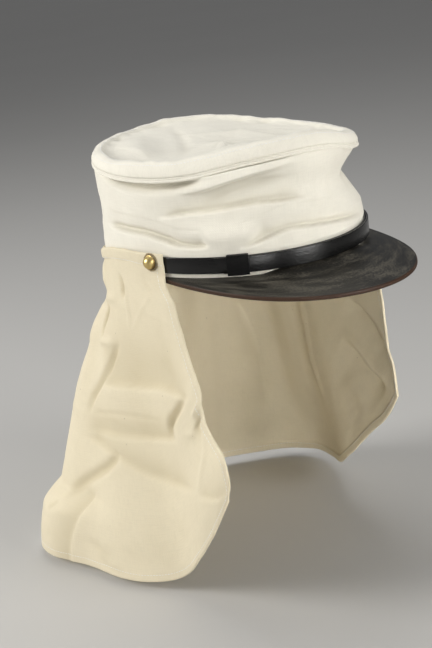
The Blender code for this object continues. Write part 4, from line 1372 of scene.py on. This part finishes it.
@dataclass
class Peak:
    """Flat leather peak with a scuffed face and a raw brown edge.

    Attributes:
        shop: What the piece is made with.
        depth: How far it reaches in front of the rim.
        drop: How far its front falls.
        leather: Its thickness.
        root: How far its root runs in under the wall.
        end_inset: How far its ends lie inside the rim's half width.
        end_setback: How far in front of the rim's middle its ends lie.
        fullness: How much fuller than an oval its edge is.
        end_share: Share of its edge that is used.
        arch: Share of its fall that grows towards the edge.
        swell: How far it swells up in front of the wall.
        swell_rise: Distances from the wall between which the swelling begins.
        swell_fall: Distances from the wall between which it ends.
        swell_turns: Turns on each side of the front between which it ends.
        wave_rise: Shares of the way to the edge between which the unevenness begins.
        gap: Space to the wall.
        rounding: Radius of its round edges.
        worn_width: Width of the worn rim.
        root_places: Places of its first rows, as shares of the way from its root to its edge.
        edge_places: Places of its last rows.
        rows: Rows of points between them.
        columns: Columns of points.
    """
    shop: Workshop
    depth: float = 0.0545
    drop: float = 0.0081
    leather: float = 0.0028
    root: float = 0.0022
    end_inset: float = 0.0032
    end_setback: float = 0.0300
    fullness: float = 0.035
    end_share: float = 0.985
    arch: float = 0.30
    swell: float = 0.0032
    swell_rise: Range = (0.0001, 0.0009)
    swell_fall: Range = (0.0015, 0.0150)
    swell_turns: Range = (20.0, 34.0)
    wave_rise: Range = (0.1, 0.6)
    gap: float = 0.0003
    rounding: float = 0.0009
    worn_width: float = 0.0022
    root_places: tuple[float, ...] = (0.0, 0.020, 0.041, 0.047, 0.055, 0.064)
    edge_places: tuple[float, ...] = (0.955, 0.972, 0.984, 0.992, 0.997, 1.0)
    rows: int = 24
    columns: int = 181

    def edge(self, share: Field) -> Field:
        """Points of the outer edge, from -1 at the left to 1 at the right."""
        angle = np.radians(90.0 * share)
        reach = self.shop.oval.half_length + self.depth - self.end_setback
        full = 1.0 + self.fullness * np.sin(2.0 * angle) ** 2
        across = -(self.shop.oval.half_width - self.end_inset) * full * np.sin(angle)
        along = -self.end_setback - reach * full * np.cos(angle)
        return np.stack([across, along, -self.drop * np.cos(angle) - self.gap], axis=-1)

    def root_swell(self, turns: Field, places: Field) -> Field:
        """How far the leather swells up in front of the wall, over its seam."""
        clear = places * (self.depth + self.root) - self.root
        section = smooth_step(*self.swell_rise, clear) * (1.0 - smooth_step(*self.swell_fall, clear))
        return self.swell * section[:, None] * (1.0 - smooth_step(*self.swell_turns, np.abs(turns)))[None]

    def build(self) -> None:
        """Build the peak."""
        places = np.concatenate([self.root_places, np.linspace(0.080, 0.93, self.rows), self.edge_places])
        share = self.end_share * np.linspace(-1.0, 1.0, self.columns)
        end_turn = math.degrees(math.acos(self.end_setback / self.shop.oval.half_length))
        root = self.shop.oval.point(share * end_turn, -self.root, -self.gap)
        edge = self.edge(share)
        top = root[None] + (edge - root)[None] * places[:, None, None]
        fall = np.maximum(0.0, places - self.root / self.depth)[:, None]
        top[..., 2] = -self.gap + (edge[:, 2] + self.gap) * fall * (1.0 - self.arch + self.arch * fall)
        wave = PEAK_WAVE.heights((share[None] + 1.0) / 2.0, places[:, None])
        top[..., 2] += wave * smooth_step(*self.wave_rise, places)[:, None]
        top[..., 2] += self.root_swell(share * end_turn, places)
        from_edge = (1.0 - places) * self.depth
        rounding = self.rounding * round_off(from_edge, self.rounding)
        under = top.copy()
        top[..., 2] -= rounding[:, None]
        under[..., 2] -= self.leather - rounding[:, None]
        length = np.concatenate([[0.0], np.cumsum(np.linalg.norm(np.diff(edge, axis=0), axis=1))])
        chart = np.stack(np.broadcast_arrays(length[None], (places * self.depth)[:, None]), axis=-1)
        mesh = ClosedSkin("peak_leather_board", top, under, chart).mesh()
        rim = smooth_step(self.worn_width, 0.3 * MM, from_edge)[:, None] + np.zeros((1, len(share)))
        put_attribute(mesh, "rim", np.concatenate([0.9 * rim.ravel(), 1.2 * rim.ravel()]))
        piece = place_piece("peak_leather_board", mesh, self.shop.peak_leather, self.shop.raw_edge)
        skins = 2 * (len(places) - 1) * (len(share) - 1)
        slots = np.zeros(len(mesh.polygons), np.int32)
        slots[skins:] = 1
        mesh.polygons.foreach_set("material_index", slots)
        stand_for(piece, "peak_leather", "peak")


@dataclass
class ChinStrap:
    """Chin strap of two leather lengths that share a keeper.

    Attributes:
        shop: What the pieces are made with.
        low: Height of the strap's lower edge.
        high: Height of its upper edge.
        leather: Its thickness.
        gap: Space between the layers.
        tail_turn: Turn at which both ends stop, past the buttons.
        free_end_turn: Turn of the upper length's free end.
        slant: How much further the free end's upper corner reaches, in degrees.
        keeper_turn: Turn of the keeper's middle.
        keeper_length: Length of the keeper along the strap.
        keeper_leather: Thickness of the keeper.
        corner: Radius of the lengths' corners.
        keeper_corner: Radius of the keeper's corners.
        columns: Places along each length.
        keeper_columns: Places along the keeper.
    """
    shop: Workshop
    low: float
    high: float
    leather: float = 0.0016
    gap: float = 0.0003
    tail_turn: float = 79.6
    free_end_turn: float = 46.0
    slant: float = 3.6
    keeper_turn: float = 38.5
    keeper_length: float = 0.0140
    keeper_leather: float = 0.0013
    corner: float = 0.00045
    keeper_corner: float = 0.0009
    columns: int = 150
    keeper_columns: int = 25

    @property
    def middle(self) -> float:
        """Height of the strap's middle."""
        return (self.low + self.high) / 2.0

    def build(self) -> None:
        """Build both lengths and the keeper."""
        self.build_length("chin_strap_under", "strap_under", 0, self.tail_turn)
        self.build_length("chin_strap_over", "strap_over", 1, self.free_end_turn)
        self.build_keeper()

    def build_length(self, name: str, node: str, layer: int, right_turn: float) -> None:
        """Sweep one length of the strap round the front.

        Args:
            name: Name of the new piece.
            node: The solid that it stands for.
            layer: 0 next to the wall, or 1 on top of the other length.
            right_turn: Turn at which its right end stops.
        """
        turns = np.linspace(right_turn, -self.tail_turn, self.columns)
        inner = self.gap + layer * (self.leather + self.gap)
        half = (self.high - self.low) / 2.0
        path = self.shop.oval.point(turns, inner, self.middle)
        mesh = path_mesh(name, path, self.shop.oval.normal(turns), closed=False)
        section = rounded_box(0.0, self.leather, -half, half, self.corner)
        piece = self.shop.bands.sweep(name, mesh, section, self.shop.strap_leather)
        if layer == 1:
            self.slant_end(piece.data, right_turn)
        stand_for(piece, "strap_leather", node)

    def slant_end(self, mesh: Mesh, end_turn: float) -> None:
        """Cut the free end on a slant, its upper corner the longer one."""
        oval = self.shop.oval
        for vertex in mesh.vertices:
            turn = math.degrees(math.atan2(-vertex.co.x / oval.half_width, -vertex.co.y / oval.half_length))
            near_end = max(0.0, 1.0 - (end_turn - turn) / (2.0 * self.slant))
            rise = (vertex.co.z - self.middle) / (self.high - self.low)
            shift = math.radians(self.slant * near_end * rise)
            vertex.co = Matrix.Rotation(-shift, 3, "Z") @ vertex.co

    def build_keeper(self) -> None:
        """Keeper: a leather loop round both lengths."""
        reach = math.degrees(self.keeper_length / 2.0 / self.shop.oval.radius)
        turns = np.linspace(self.keeper_turn + reach, self.keeper_turn - reach, self.keeper_columns)
        both = 2.0 * (self.leather + self.gap) + self.gap
        lip = 0.75 * self.keeper_leather
        half = (self.high - self.low) / 2.0 + self.gap
        outer = rounded_box(
            self.gap, both + self.keeper_leather, -half - lip, half + lip, self.keeper_corner)
        cut = [(self.gap, half), (both, half), (both, -half), (self.gap, -half)]
        level = self.gap + 1e-9
        start = next(index for index, point in enumerate(outer) if point[0] <= level and point[1] < 0.0)
        section = outer[start:] + outer[:start] + cut
        path = self.shop.oval.point(turns, 0.0, self.middle)
        mesh = path_mesh("chin_strap_keeper", path, self.shop.oval.normal(turns), closed=False)
        piece = self.shop.bands.sweep("chin_strap_keeper", mesh, section, self.shop.keeper_leather)
        stand_for(piece, "keeper_leather", "strap_keeper")


@dataclass
class NeckCurtain:
    """Cream cotton curtain, hemmed all round and hung from the rim.

    Attributes:
        shop: What the pieces are made with.
        top: Height of its upper edge at the buttons.
        strap_low: Height of the chin strap's lower edge, under which it hangs free.
        edge_turn: Turn of its front edges.
        sag: How far its upper edge sags behind the buttons.
        sag_turns: Turns between which it sags.
        drop: Depth of its lower edge under the rim.
        half_spread: Half width of the spread curtain.
        back_reach: How far it reaches behind.
        cloth: Thickness of one layer.
        hem: Thickness of a hem.
        hem_width: Width of the side and lower hems.
        band: Width of the upper hem.
        wave: Depth of the waves in its lower part.
        waves: Number of waves.
        back_range: Stations from a front edge between which the back's spread takes over.
        kick: Station of the kick at the right rear, and its width.
        front_flare: How far the front edges stand out.
        flare_width: Station at which this has ended.
        strap_leather: Thickness of each strap length under it.
        gap: Space to what lies under it.
        tail_turn: Turn at which the strap ends.
        past_tail: Turns past it between which the curtain comes to lie on the wall.
        button_held: Turns to a button within which the upper hem lies flat.
        rim_width: Length of its upper edge.
        flat_width: Width of the cloth laid flat.
        flat_length: Height of the cloth laid flat.
        flat_area: Area of the cloth laid flat; not used.
        fold_scale: Length in metres that stands for a whole station, and for a whole drop, in folds.
        side_rows: Distances in millimetres of the close columns and rows in the hems.
        band_rows: Distances in millimetres of the close rows in the upper hem.
        columns: Columns of points between the hems.
        rows: Rows of points between them.
    """
    shop: Workshop
    top: float
    strap_low: float
    edge_turn: float = 69.2
    sag: float = 0.0135
    sag_turns: Range = (88.0, 146.0)
    drop: float = 0.2310
    half_spread: float = 0.1360
    back_reach: float = 0.1560
    cloth: float = 0.0010
    hem: float = 0.0019
    hem_width: float = 0.0062
    band: float = 0.0084
    wave: float = 0.0050
    waves: float = 5.5
    back_range: Range = (0.02, 0.20)
    kick: Range = (0.300, 0.075)
    front_flare: float = 0.0058
    flare_width: float = 0.055
    strap_leather: float = 0.0016
    gap: float = 0.0003
    tail_turn: float = 79.6
    past_tail: Range = (0.7, 15.0)
    button_held: float = 8.0
    rim_width: float = 0.39
    flat_width: float = 0.655
    flat_length: float = 0.247
    flat_area: float = 0.126
    fold_scale: Range = (0.52, 0.21)
    side_rows: tuple[float, ...] = (0.0, 0.5, 1.4, 3.0, 4.6, 5.6, 6.2, 6.8, 8.2)
    band_rows: tuple[float, ...] = (0.0, 0.5, 1.6, 3.4, 5.4, 7.0, 7.8, 8.4, 9.0, 10.4)
    columns: int = 278
    rows: int = 128

    def build(self) -> None:
        station, drop = self.grid()
        outer, lifted = self.surface(station, drop)
        normal = surface_normals(outer, ring=False)
        thickness = self.thickness(station, drop)
        round_edge = self.rounding(station, drop)
        face = outer - normal * (thickness * round_edge)[..., None]
        back = outer - normal * (thickness * (1.0 - round_edge))[..., None]
        chart = np.stack([station * self.flat_width, drop * self.flat_length], axis=-1)
        mesh = ClosedSkin("neck_curtain_cloth", face, back, chart).mesh()
        # Painted shade in the folds' creases, half as strong on the inner side
        crease_shade = smooth_step(0.0, 2.6 * MM, -lifted)
        put_attribute(mesh, "crease_shade", np.concatenate([crease_shade.ravel(), 0.5 * crease_shade.ravel()]))
        piece = place_piece("neck_curtain_cloth", mesh, self.shop.cream_cotton)
        stand_for(piece, "cream_cotton", "neck_curtain")
        stitches = self.sew_hems(outer, normal, thickness, self.seam_lines(station, drop))

    def turns(self, station: Field) -> Field:
        """Turn at a station."""
        return self.edge_turn + (360.0 - 2.0 * self.edge_turn) * station

    def upper_edge(self, turns: Field) -> Field:
        """Height of the upper edge, which sags behind the buttons."""
        return self.top - self.sag * smooth_step(*self.sag_turns, self.on_side(turns))

    @staticmethod
    def on_side(turns: Field) -> Field:
        """Turn measured from the front on the nearer side."""
        return np.where(turns <= 180.0, turns, 360.0 - turns)

    def length(self, station: Field) -> Field:
        """Height of the hanging cloth at a station."""
        lower = self.drop * read_table(CURTAIN_LOWER_EDGE, "station", "z", station)
        return self.upper_edge(self.turns(station)) - lower

    def width(self, drop: Field) -> Field:
        """Rough length of the cloth round the back at a drop."""
        spread = read_table(CURTAIN_SPREAD, "drop", "back", drop)
        return self.rim_width + (self.flat_width - self.rim_width) * spread

    def grid(self) -> tuple[Field, Field]:
        """Stations and drops of the points, closer together at the hems."""
        side = np.array(self.side_rows) * MM
        upper = np.array(self.band_rows) * MM
        inner_columns = np.linspace(0.0, 1.0, self.columns + 2)[1:-1]
        inner_rows = np.linspace(0.0, 1.0, self.rows + 2)[1:-1]
        rough = np.concatenate([np.zeros(len(upper)), inner_rows, np.ones(len(side))])
        wide = self.width(rough)[:, None]
        first = side[None] / wide
        last = 1.0 - side[::-1][None] / wide
        between = first[:, -1:] + (last[:, :1] - first[:, -1:]) * inner_columns[None]
        station = np.concatenate([first, between, last], axis=1)
        long = self.length(station)
        top_rows = upper[:, None] / long[:len(upper)]
        bottom_rows = 1.0 - side[::-1][:, None] / long[-len(side):]
        middle = long[len(upper):-len(side)]
        start = upper[-1] / middle
        end = 1.0 - side[-1] / middle
        middle_rows = start + (end - start) * inner_rows[:, None]
        return station, np.concatenate([top_rows, middle_rows, bottom_rows])

    def stand_off(self, turns: Field) -> Field:
        """Offset of the inner side from the oval, over the strap's ends or on the wall."""
        side_turn = self.on_side(turns)
        layers = np.where(turns < 180.0, 1.0, 2.0)
        over_strap = self.gap + layers * (self.strap_leather + self.gap)
        past_tail = smooth_step(*self.past_tail, side_turn - self.tail_turn)
        return over_strap + (self.gap - over_strap) * past_tail

    def surface(self, station: Field, drop: Field) -> tuple[Field, Field]:
        """Points of the outer side, and how far the folds lift each of them.

        Args:
            station: Station of each point.
            drop: Drop of each point.

        Returns:
            The points, and the height of the folds there.
        """
        oval = self.shop.oval
        turns = self.turns(station)
        hem_x = self.half_spread * read_table(CURTAIN_LOWER_EDGE, "station", "x", station)
        hem_y = self.back_reach * read_table(CURTAIN_LOWER_EDGE, "station", "y", station)
        heights = self.upper_edge(turns) - self.length(station) * drop
        start = oval.point(turns, self.stand_off(turns) + self.hem, heights)
        from_front = np.minimum(station, 1.0 - station)
        back = smooth_step(*self.back_range, from_front)
        kick = bell(station - self.kick[0], self.kick[1])
        rows = {name: read_table(CURTAIN_SPREAD, "drop", name, drop) for name in SpreadRow._fields[1:]}
        front = np.where(station < 0.5, rows["right"], rows["left"])
        spread = front + (rows["back"] - front) * back
        spread = spread + (rows["kick"] - rows["back"]) * kick * back
        free = smooth_step(self.strap_low, self.strap_low - self.top, heights)
        spread = spread * free
        points = start.copy()
        points[..., 0] += (hem_x - start[..., 0]) * spread
        points[..., 1] += (hem_y - start[..., 1]) * spread
        scale = self.fold_scale
        folds = add_folds(CURTAIN_FOLDS, station * scale[0], drop * scale[1], scale)
        folds = folds + self.puckers(station, drop)
        wave = self.wave * np.cos(2.0 * math.pi * self.waves * station) * back * drop
        flare = self.front_flare * (1.0 - smooth_step(0.0, self.flare_width, from_front))
        soft = rumple(CURTAIN_RUMPLES, station, drop)
        push = (folds + wave + flare + soft * (0.4 + 0.6 * drop)) * free
        push = push + self.band_relief(turns, station, drop)
        return points + oval.normal(turns) * push[..., None], folds * free

    def puckers(self, station: Field, drop: Field) -> Field:
        """Small puckers beside the stitches of the hems."""
        _, other = self.edge_distance(station, drop)
        beside = bell(other - self.hem_width, 3.5 * MM)
        return HEM_PUCKERS.heights(station, drop) * beside

    def band_relief(self, turns: Field, station: Field, drop: Field) -> Field:
        """Puckered upper hem, which the buttons hold flat."""
        down = drop * self.length(station)
        held = 1.0 - bell(self.on_side(turns) - BUTTON_TURN, self.button_held)
        pucker = BAND_PUCKERS.heights(station, down / (3.0 * self.band))
        swell = smooth_step(0.0, 2.0 * MM, down) * (1.0 - smooth_step(-1.2 * MM, 0.6 * MM, down - self.band))
        waist = bell(down - self.band - 0.6 * MM, 1.5 * MM)
        below = bell(down - 2.0 * self.band, 0.6 * self.band)
        return held * (swell * (0.7 * MM + 1.20 * pucker) - 0.40 * MM * waist + 0.5 * pucker * below)

    def edge_distance(self, station: Field, drop: Field) -> tuple[Field, Field]:
        """Distances from the upper edge, and from the nearest other edge."""
        lower = (1.0 - drop) * self.length(station)
        side = np.minimum(station, 1.0 - station) * self.width(drop)
        return drop * self.length(station), np.minimum(lower, side)

    def thickness(self, station: Field, drop: Field) -> Field:
        """Thickness of the cloth, doubled in its hems."""
        upper, other = self.edge_distance(station, drop)
        in_band = 1.0 - smooth_step(self.band, self.band + 0.5 * MM, upper)
        in_hem = 1.0 - smooth_step(self.hem_width, self.hem_width + 0.5 * MM, other)
        return self.cloth + (self.hem - self.cloth) * np.maximum(in_band, in_hem)

    def rounding(self, station: Field, drop: Field) -> Field:
        """Share of the thickness that the edge rounds away on each side."""
        upper, other = self.edge_distance(station, drop)
        return 0.42 * round_off(np.minimum(upper, other), 1.1 * MM)

    def seam_lines(self, station: Field, drop: Field) -> dict[str, tuple]:
        """Rows and columns of the grid that the stitches of each hem follow."""
        row, column = (size // 2 for size in station.shape)
        long = self.length(station[:, column])
        inset = self.hem_width - 0.6 * MM
        upper = nearest(drop[:, column] * long, self.band - 0.8 * MM)
        lower = nearest((1.0 - drop[:, column]) * long, inset)
        right = nearest(station[row] * self.width(drop[row]), inset)
        left = station.shape[1] - 1 - right
        down = slice(upper, lower + 1)
        return {
            "band": (upper, slice(2, -2)), "right": (down, right),
            "lower": (lower, slice(right, left + 1)), "left": (down, left),
        }

    def sew_hems(self, outer: Field, normal: Field, thickness: Field,
                 lines: dict[str, tuple]) -> Piece:
        """Sew the hems, with a row of stitches on each side of the cloth."""
        rows = []
        lift = 0.04 * MM
        thread = self.shop.cream_thread
        for name, line in lines.items():
            away = normal[line]
            front = outer[line] + away * lift
            behind = outer[line] - away * (thickness[line][:, None] + lift)
            rows.append(self.shop.stitches.sew("stitches_out_" + name, front, away, thread, HEM_STITCH))
            rows.append(self.shop.stitches.sew("stitches_in_" + name, behind, -away, thread, HEM_STITCH))
        piece = join_pieces("curtain_stitches", rows)
        stand_for(piece, "cream_cotton")
        return piece


@dataclass
class Button:
    """Brass button whose shank runs through the curtain, the strap and the wall.

    Attributes:
        shop: What the pieces are made with.
        side: right or left.
        turn: Turn at which it sits.
        height: Height of its middle.
        layers: Number of strap lengths under it.
        radius: Radius of its dome.
        dome: Height of the dome.
        skirt: Height of the dome's straight edge.
        wall: Distance from the rim's oval in to the flange inside the wall.
        curtain: Thickness of the curtain's hem.
        strap: Thickness of each strap length.
        gap: Space between the layers.
        post: Radius of the post.
        flange: Radius and thickness of the flange.
        sides: Sides of its round form.
    """
    shop: Workshop
    side: str
    turn: float
    height: float
    layers: int
    radius: float = 0.0050
    dome: float = 0.0042
    skirt: float = 0.0010
    wall: float = 0.0021
    curtain: float = 0.0019
    strap: float = 0.0016
    gap: float = 0.0003
    post: float = 0.0012
    flange: Range = (0.0034, 0.0008)
    sides: int = 48

    def seat(self) -> float:
        """Distance from the rim's oval to the curtain's outer side."""
        return self.gap + self.layers * (self.strap + self.gap) + self.curtain

    def profile(self) -> list[tuple[float, float]]:
        """Half section: radius, and distance out from the rim's oval."""
        seat = self.seat() + self.gap
        rim = seat + self.skirt
        flange, thick = self.flange
        inside = -self.wall - thick
        points = [
            (0.0, inside), (flange - 0.2 * MM, inside), (flange, inside + 0.2 * MM),
            (flange, -self.wall), (self.post, -self.wall), (self.post, seat),
            (self.radius * 0.90, seat), (self.radius * 0.97, seat + 0.12 * MM),
            (self.radius, seat + 0.35 * MM),
            (self.radius * 1.005, rim - 0.25 * MM), (self.radius * 0.985, rim),
            (self.radius * 0.940, rim + 0.06 * MM), (self.radius * 0.915, rim + 0.20 * MM),
        ]
        for step in range(1, 12):
            angle = math.radians(8.0 + 82.0 * step / 12)
            points.append((self.radius * 0.92 * math.cos(angle), rim + self.dome * math.sin(angle)))
        points.append((0.0, rim + self.dome))
        return points

    def build(self) -> None:
        """Build the button and the stitched ring of its buttonhole."""
        turn = np.array([self.turn])
        middle = Vector(self.shop.oval.point(turn, 0.0, self.height)[0])
        outwards = Vector(self.shop.oval.normal(turn)[0])
        across = outwards.cross(Vector((0.0, 0.0, 1.0))).normalized()
        upwards = across.cross(outwards)
        shape = bmesh.new()
        profile = self.profile()
        chain = [shape.verts.new((radius, 0.0, distance)) for radius, distance in profile]
        edges = [shape.edges.new(pair) for pair in zip(chain, chain[1:])]
        bmesh.ops.spin(
            shape, geom=chain + edges, axis=(0, 0, 1), cent=(0, 0, 0), angle=2.0 * math.pi, steps=self.sides,
            use_merge=True)
        bmesh.ops.remove_doubles(shape, verts=shape.verts, dist=0.00001)
        bmesh.ops.recalc_face_normals(shape, faces=shape.faces)
        frame = Matrix((across, upwards, outwards)).transposed().to_4x4()
        frame.translation = middle
        # Brass share: the dome's crown is worn bright and its lower edge stays tarnished; its upper side and
        # one flank are made brighter and the opposite ones darker, a painted highlight and shade
        rubbed_and_lit = []
        for vertex in shape.verts:
            rise = (vertex.co.z - self.seat()) / (self.dome + self.skirt)
            lit_side = 0.5 * vertex.co.y / self.radius + 0.3 * vertex.co.x / self.radius
            rubbed_and_lit.append(max(0.0, min(1.0, 0.25 + 0.75 * rise + lit_side * (1.0 - rise))))
        shape.transform(frame)
        name = "button_" + self.side + "_dome"
        mesh = bpy.data.meshes.new(name)
        shape.to_mesh(mesh)
        shape.free()
        put_attribute(mesh, "rubbed_and_lit", np.array(rubbed_and_lit))
        mesh.shade_smooth()
        mesh.set_sharp_from_angle(angle=math.radians(50.0))
        piece = place_piece(name, mesh, self.shop.brass)
        stand_for(piece, "old_brass", "button_" + self.side)
        self.sew_hole()

    def sew_hole(self) -> None:
        """Ring of close stitches round the buttonhole."""
        angle = np.radians(np.arange(0.0, 360.0, 7.5))
        ring = self.radius + 0.75 * MM
        turns = self.turn + np.degrees(ring * np.cos(angle) / self.shop.oval.half_length)
        heights = self.height + ring * np.sin(angle)
        points = self.shop.oval.point(turns, self.seat() + 0.15 * MM, heights)
        name = "buttonhole_" + self.side
        piece = self.shop.stitches.sew(
            name, points, self.shop.oval.normal(turns), self.shop.cream_thread, BUTTONHOLE_STITCH,
            closed=True)
        stand_for(piece, "cream_cotton")


@dataclass(frozen=True)
class SoftLight:
    """A soft light of a width and a height, turned to its aim, with its spread in degrees."""
    name: str
    place: Place
    size: tuple[float, float]
    watts: float
    colour: Place = (1.0, 0.99, 0.97)
    aim: Place = (0.0, 0.0, -0.05)
    spread: float = 180.0

    def hang(self) -> None:
        """Put the light in the scene."""
        lamp = bpy.data.lights.new(self.name, "AREA")
        lamp.shape = "RECTANGLE"
        lamp.size, lamp.size_y = self.size
        lamp.energy = self.watts
        lamp.color = self.colour
        lamp.spread = math.radians(self.spread)
        holder = bpy.data.objects.new(self.name, lamp)
        holder.location = self.place
        towards = Vector(self.aim) - Vector(self.place)
        holder.rotation_euler = towards.to_track_quat("-Z", "Y").to_euler()
        bpy.context.scene.collection.objects.link(holder)


@dataclass
class Studio:
    """Pale floor, soft lights and the camera at the photograph's angle.

    Attributes:
        floor_height: Height of the floor.
        floor_radius: Radius of the floor.
        floor_colour: Colour of the floor.
        sky_colour: Colour of the surroundings.
        sky_strength: Strength of the light from them.
        camera_place: Place of the camera.
        camera_forward: Direction in which it looks.
        camera_roll: How far it leans to its right, in degrees.
        lens: Focal length for a picture 36 mm high.
        sight: How far the camera sees.
    """
    floor_height: float = -0.2365
    floor_radius: float = 14.0
    floor_colour: Colour = (0.50, 0.49, 0.47, 1.0)
    sky_colour: Colour = (0.80, 0.81, 0.83, 1.0)
    sky_strength: float = 0.28
    camera_place: Place = (-0.5669, -0.7902, 0.2295)
    camera_forward: Place = (0.5432, 0.7900, -0.2843)
    camera_roll: float = 6.83
    lens: float = 76.7
    sight: float = 60.0
    lights: tuple[SoftLight, ...] = (
        SoftLight("key_light", (-1.55, 0.75, 0.80), (0.9, 0.9), 32.0),
        SoftLight("front_light", (0.42, -1.70, 0.35), (0.7, 1.4), 25.0),
        SoftLight("low_light", (-0.70, -1.28, -0.11), (0.5, 0.8), 1.6),
        SoftLight(
            "inner_light", (-0.62, -1.30, -0.10), (0.3, 0.3), 0.13, aim=(0.140, 0.0, -0.155), spread=20.0),
        SoftLight("top_light", (0.20, 0.50, 1.60), (1.2, 1.2), 9.0, (0.98, 0.99, 1.0)),
    )

    def build(self) -> None:
        """Build the floor, the lights, the surroundings and the camera."""
        self.lay_floor()
        for light in self.lights:
            light.hang()
        world = bpy.data.worlds.new("surroundings")
        world.use_nodes = True
        background = world.node_tree.nodes["Background"]
        background.inputs["Color"].default_value = self.sky_colour
        background.inputs["Strength"].default_value = self.sky_strength
        bpy.context.scene.world = world
        bpy.context.scene.view_settings.view_transform = "Standard"
        self.place_camera()

    def lay_floor(self) -> None:
        """Lay a wide round floor."""
        shape = bmesh.new()
        bmesh.ops.create_circle(shape, cap_ends=True, segments=96, radius=self.floor_radius)
        mesh = bpy.data.meshes.new("floor")
        shape.to_mesh(mesh)
        shape.free()
        mesh.transform(Matrix.Translation((0.0, 0.0, self.floor_height)))
        floor = place_piece("floor", mesh, PlainFinish("pale_floor", self.floor_colour).make())

    def place_camera(self) -> None:
        """Place the camera and make it the scene's own."""
        forward = Vector(self.camera_forward).normalized()
        level = forward.cross(Vector((0.0, 0.0, 1.0))).normalized()
        plumb = level.cross(forward)
        roll = math.radians(self.camera_roll)
        upwards = plumb * math.cos(roll) + level * math.sin(roll)
        right = forward.cross(upwards)
        lens = bpy.data.cameras.new("camera")
        lens.lens = self.lens
        lens.clip_end = self.sight
        camera = bpy.data.objects.new("camera", lens)
        frame = Matrix((right, upwards, -forward)).transposed().to_4x4()
        frame.translation = Vector(self.camera_place)
        camera.matrix_world = frame
        bpy.context.scene.collection.objects.link(camera)
        bpy.context.scene.camera = camera


def stock_workshop() -> Workshop:
    """Make the finishes and the node trees."""
    white = (0.80, 0.765, 0.665, 1.0)
    cream = (0.74, 0.66, 0.485, 1.0)
    return Workshop(
        oval=RimOval(),
        # The second colour of each cotton is the painted shade of its creases
        white_cotton=CottonFinish("white_cotton", white, (0.61, 0.575, 0.475, 1.0)).make(),
        cream_cotton=CottonFinish(
            "cream_cotton", cream, (0.62, 0.54, 0.37, 1.0), slub=0.00014, flecks=0.085).make(),
        peak_leather=LeatherFinish(
            "peak_leather", (0.010, 0.009, 0.007, 1.0), (0.122, 0.110, 0.086, 1.0), 0.64, 0.42, 0.62).make(),
        raw_edge=LeatherFinish(
            "peak_raw_edge", (0.042, 0.019, 0.009, 1.0), (0.085, 0.042, 0.022, 1.0), 0.6, 0.7, 0.8).make(),
        strap_leather=LeatherFinish(
            "strap_leather", (0.002, 0.002, 0.002, 1.0), (0.014, 0.014, 0.013, 1.0), 0.35, 0.20, 0.36,
            rim=(0.010, 0.009, 0.008, 1.0), shine=0.36).make(),
        keeper_leather=LeatherFinish(
            "keeper_leather", (0.002, 0.002, 0.002, 1.0), (0.012, 0.011, 0.010, 1.0), 0.4, 0.50, 0.60,
            shine=0.14).make(),
        brass=BrassFinish().make(),
        white_thread=ThreadFinish("white_thread", (0.74, 0.70, 0.60, 1.0)).make(),
        cream_thread=ThreadFinish("cream_thread", (0.46, 0.37, 0.23, 1.0)).make(),
        stitches=StitchTree(),
        bands=BandTree(),
    )


def main() -> None:
    """Build the cap's looks and the studio."""
    logging.basicConfig(level=logging.INFO, format="%(name)s: %(message)s")
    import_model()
    strap_low, strap_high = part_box("strap_over")
    curtain_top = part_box("neck_curtain")[1].z
    shop = stock_workshop()
    Crown(shop, strap_top=strap_high.z).build()
    Peak(shop).build()
    ChinStrap(shop, low=strap_low.z, high=strap_high.z).build()
    buttons = (strap_low.z + strap_high.z) / 2.0 + BUTTON_RISE
    Button(shop, "right", BUTTON_TURN, buttons, layers=1).build()
    Button(shop, "left", -BUTTON_TURN, buttons, layers=2).build()
    NeckCurtain(shop, top=curtain_top, strap_low=strap_low.z).build()
    Studio().build()


if __name__ == "__main__":
    main()
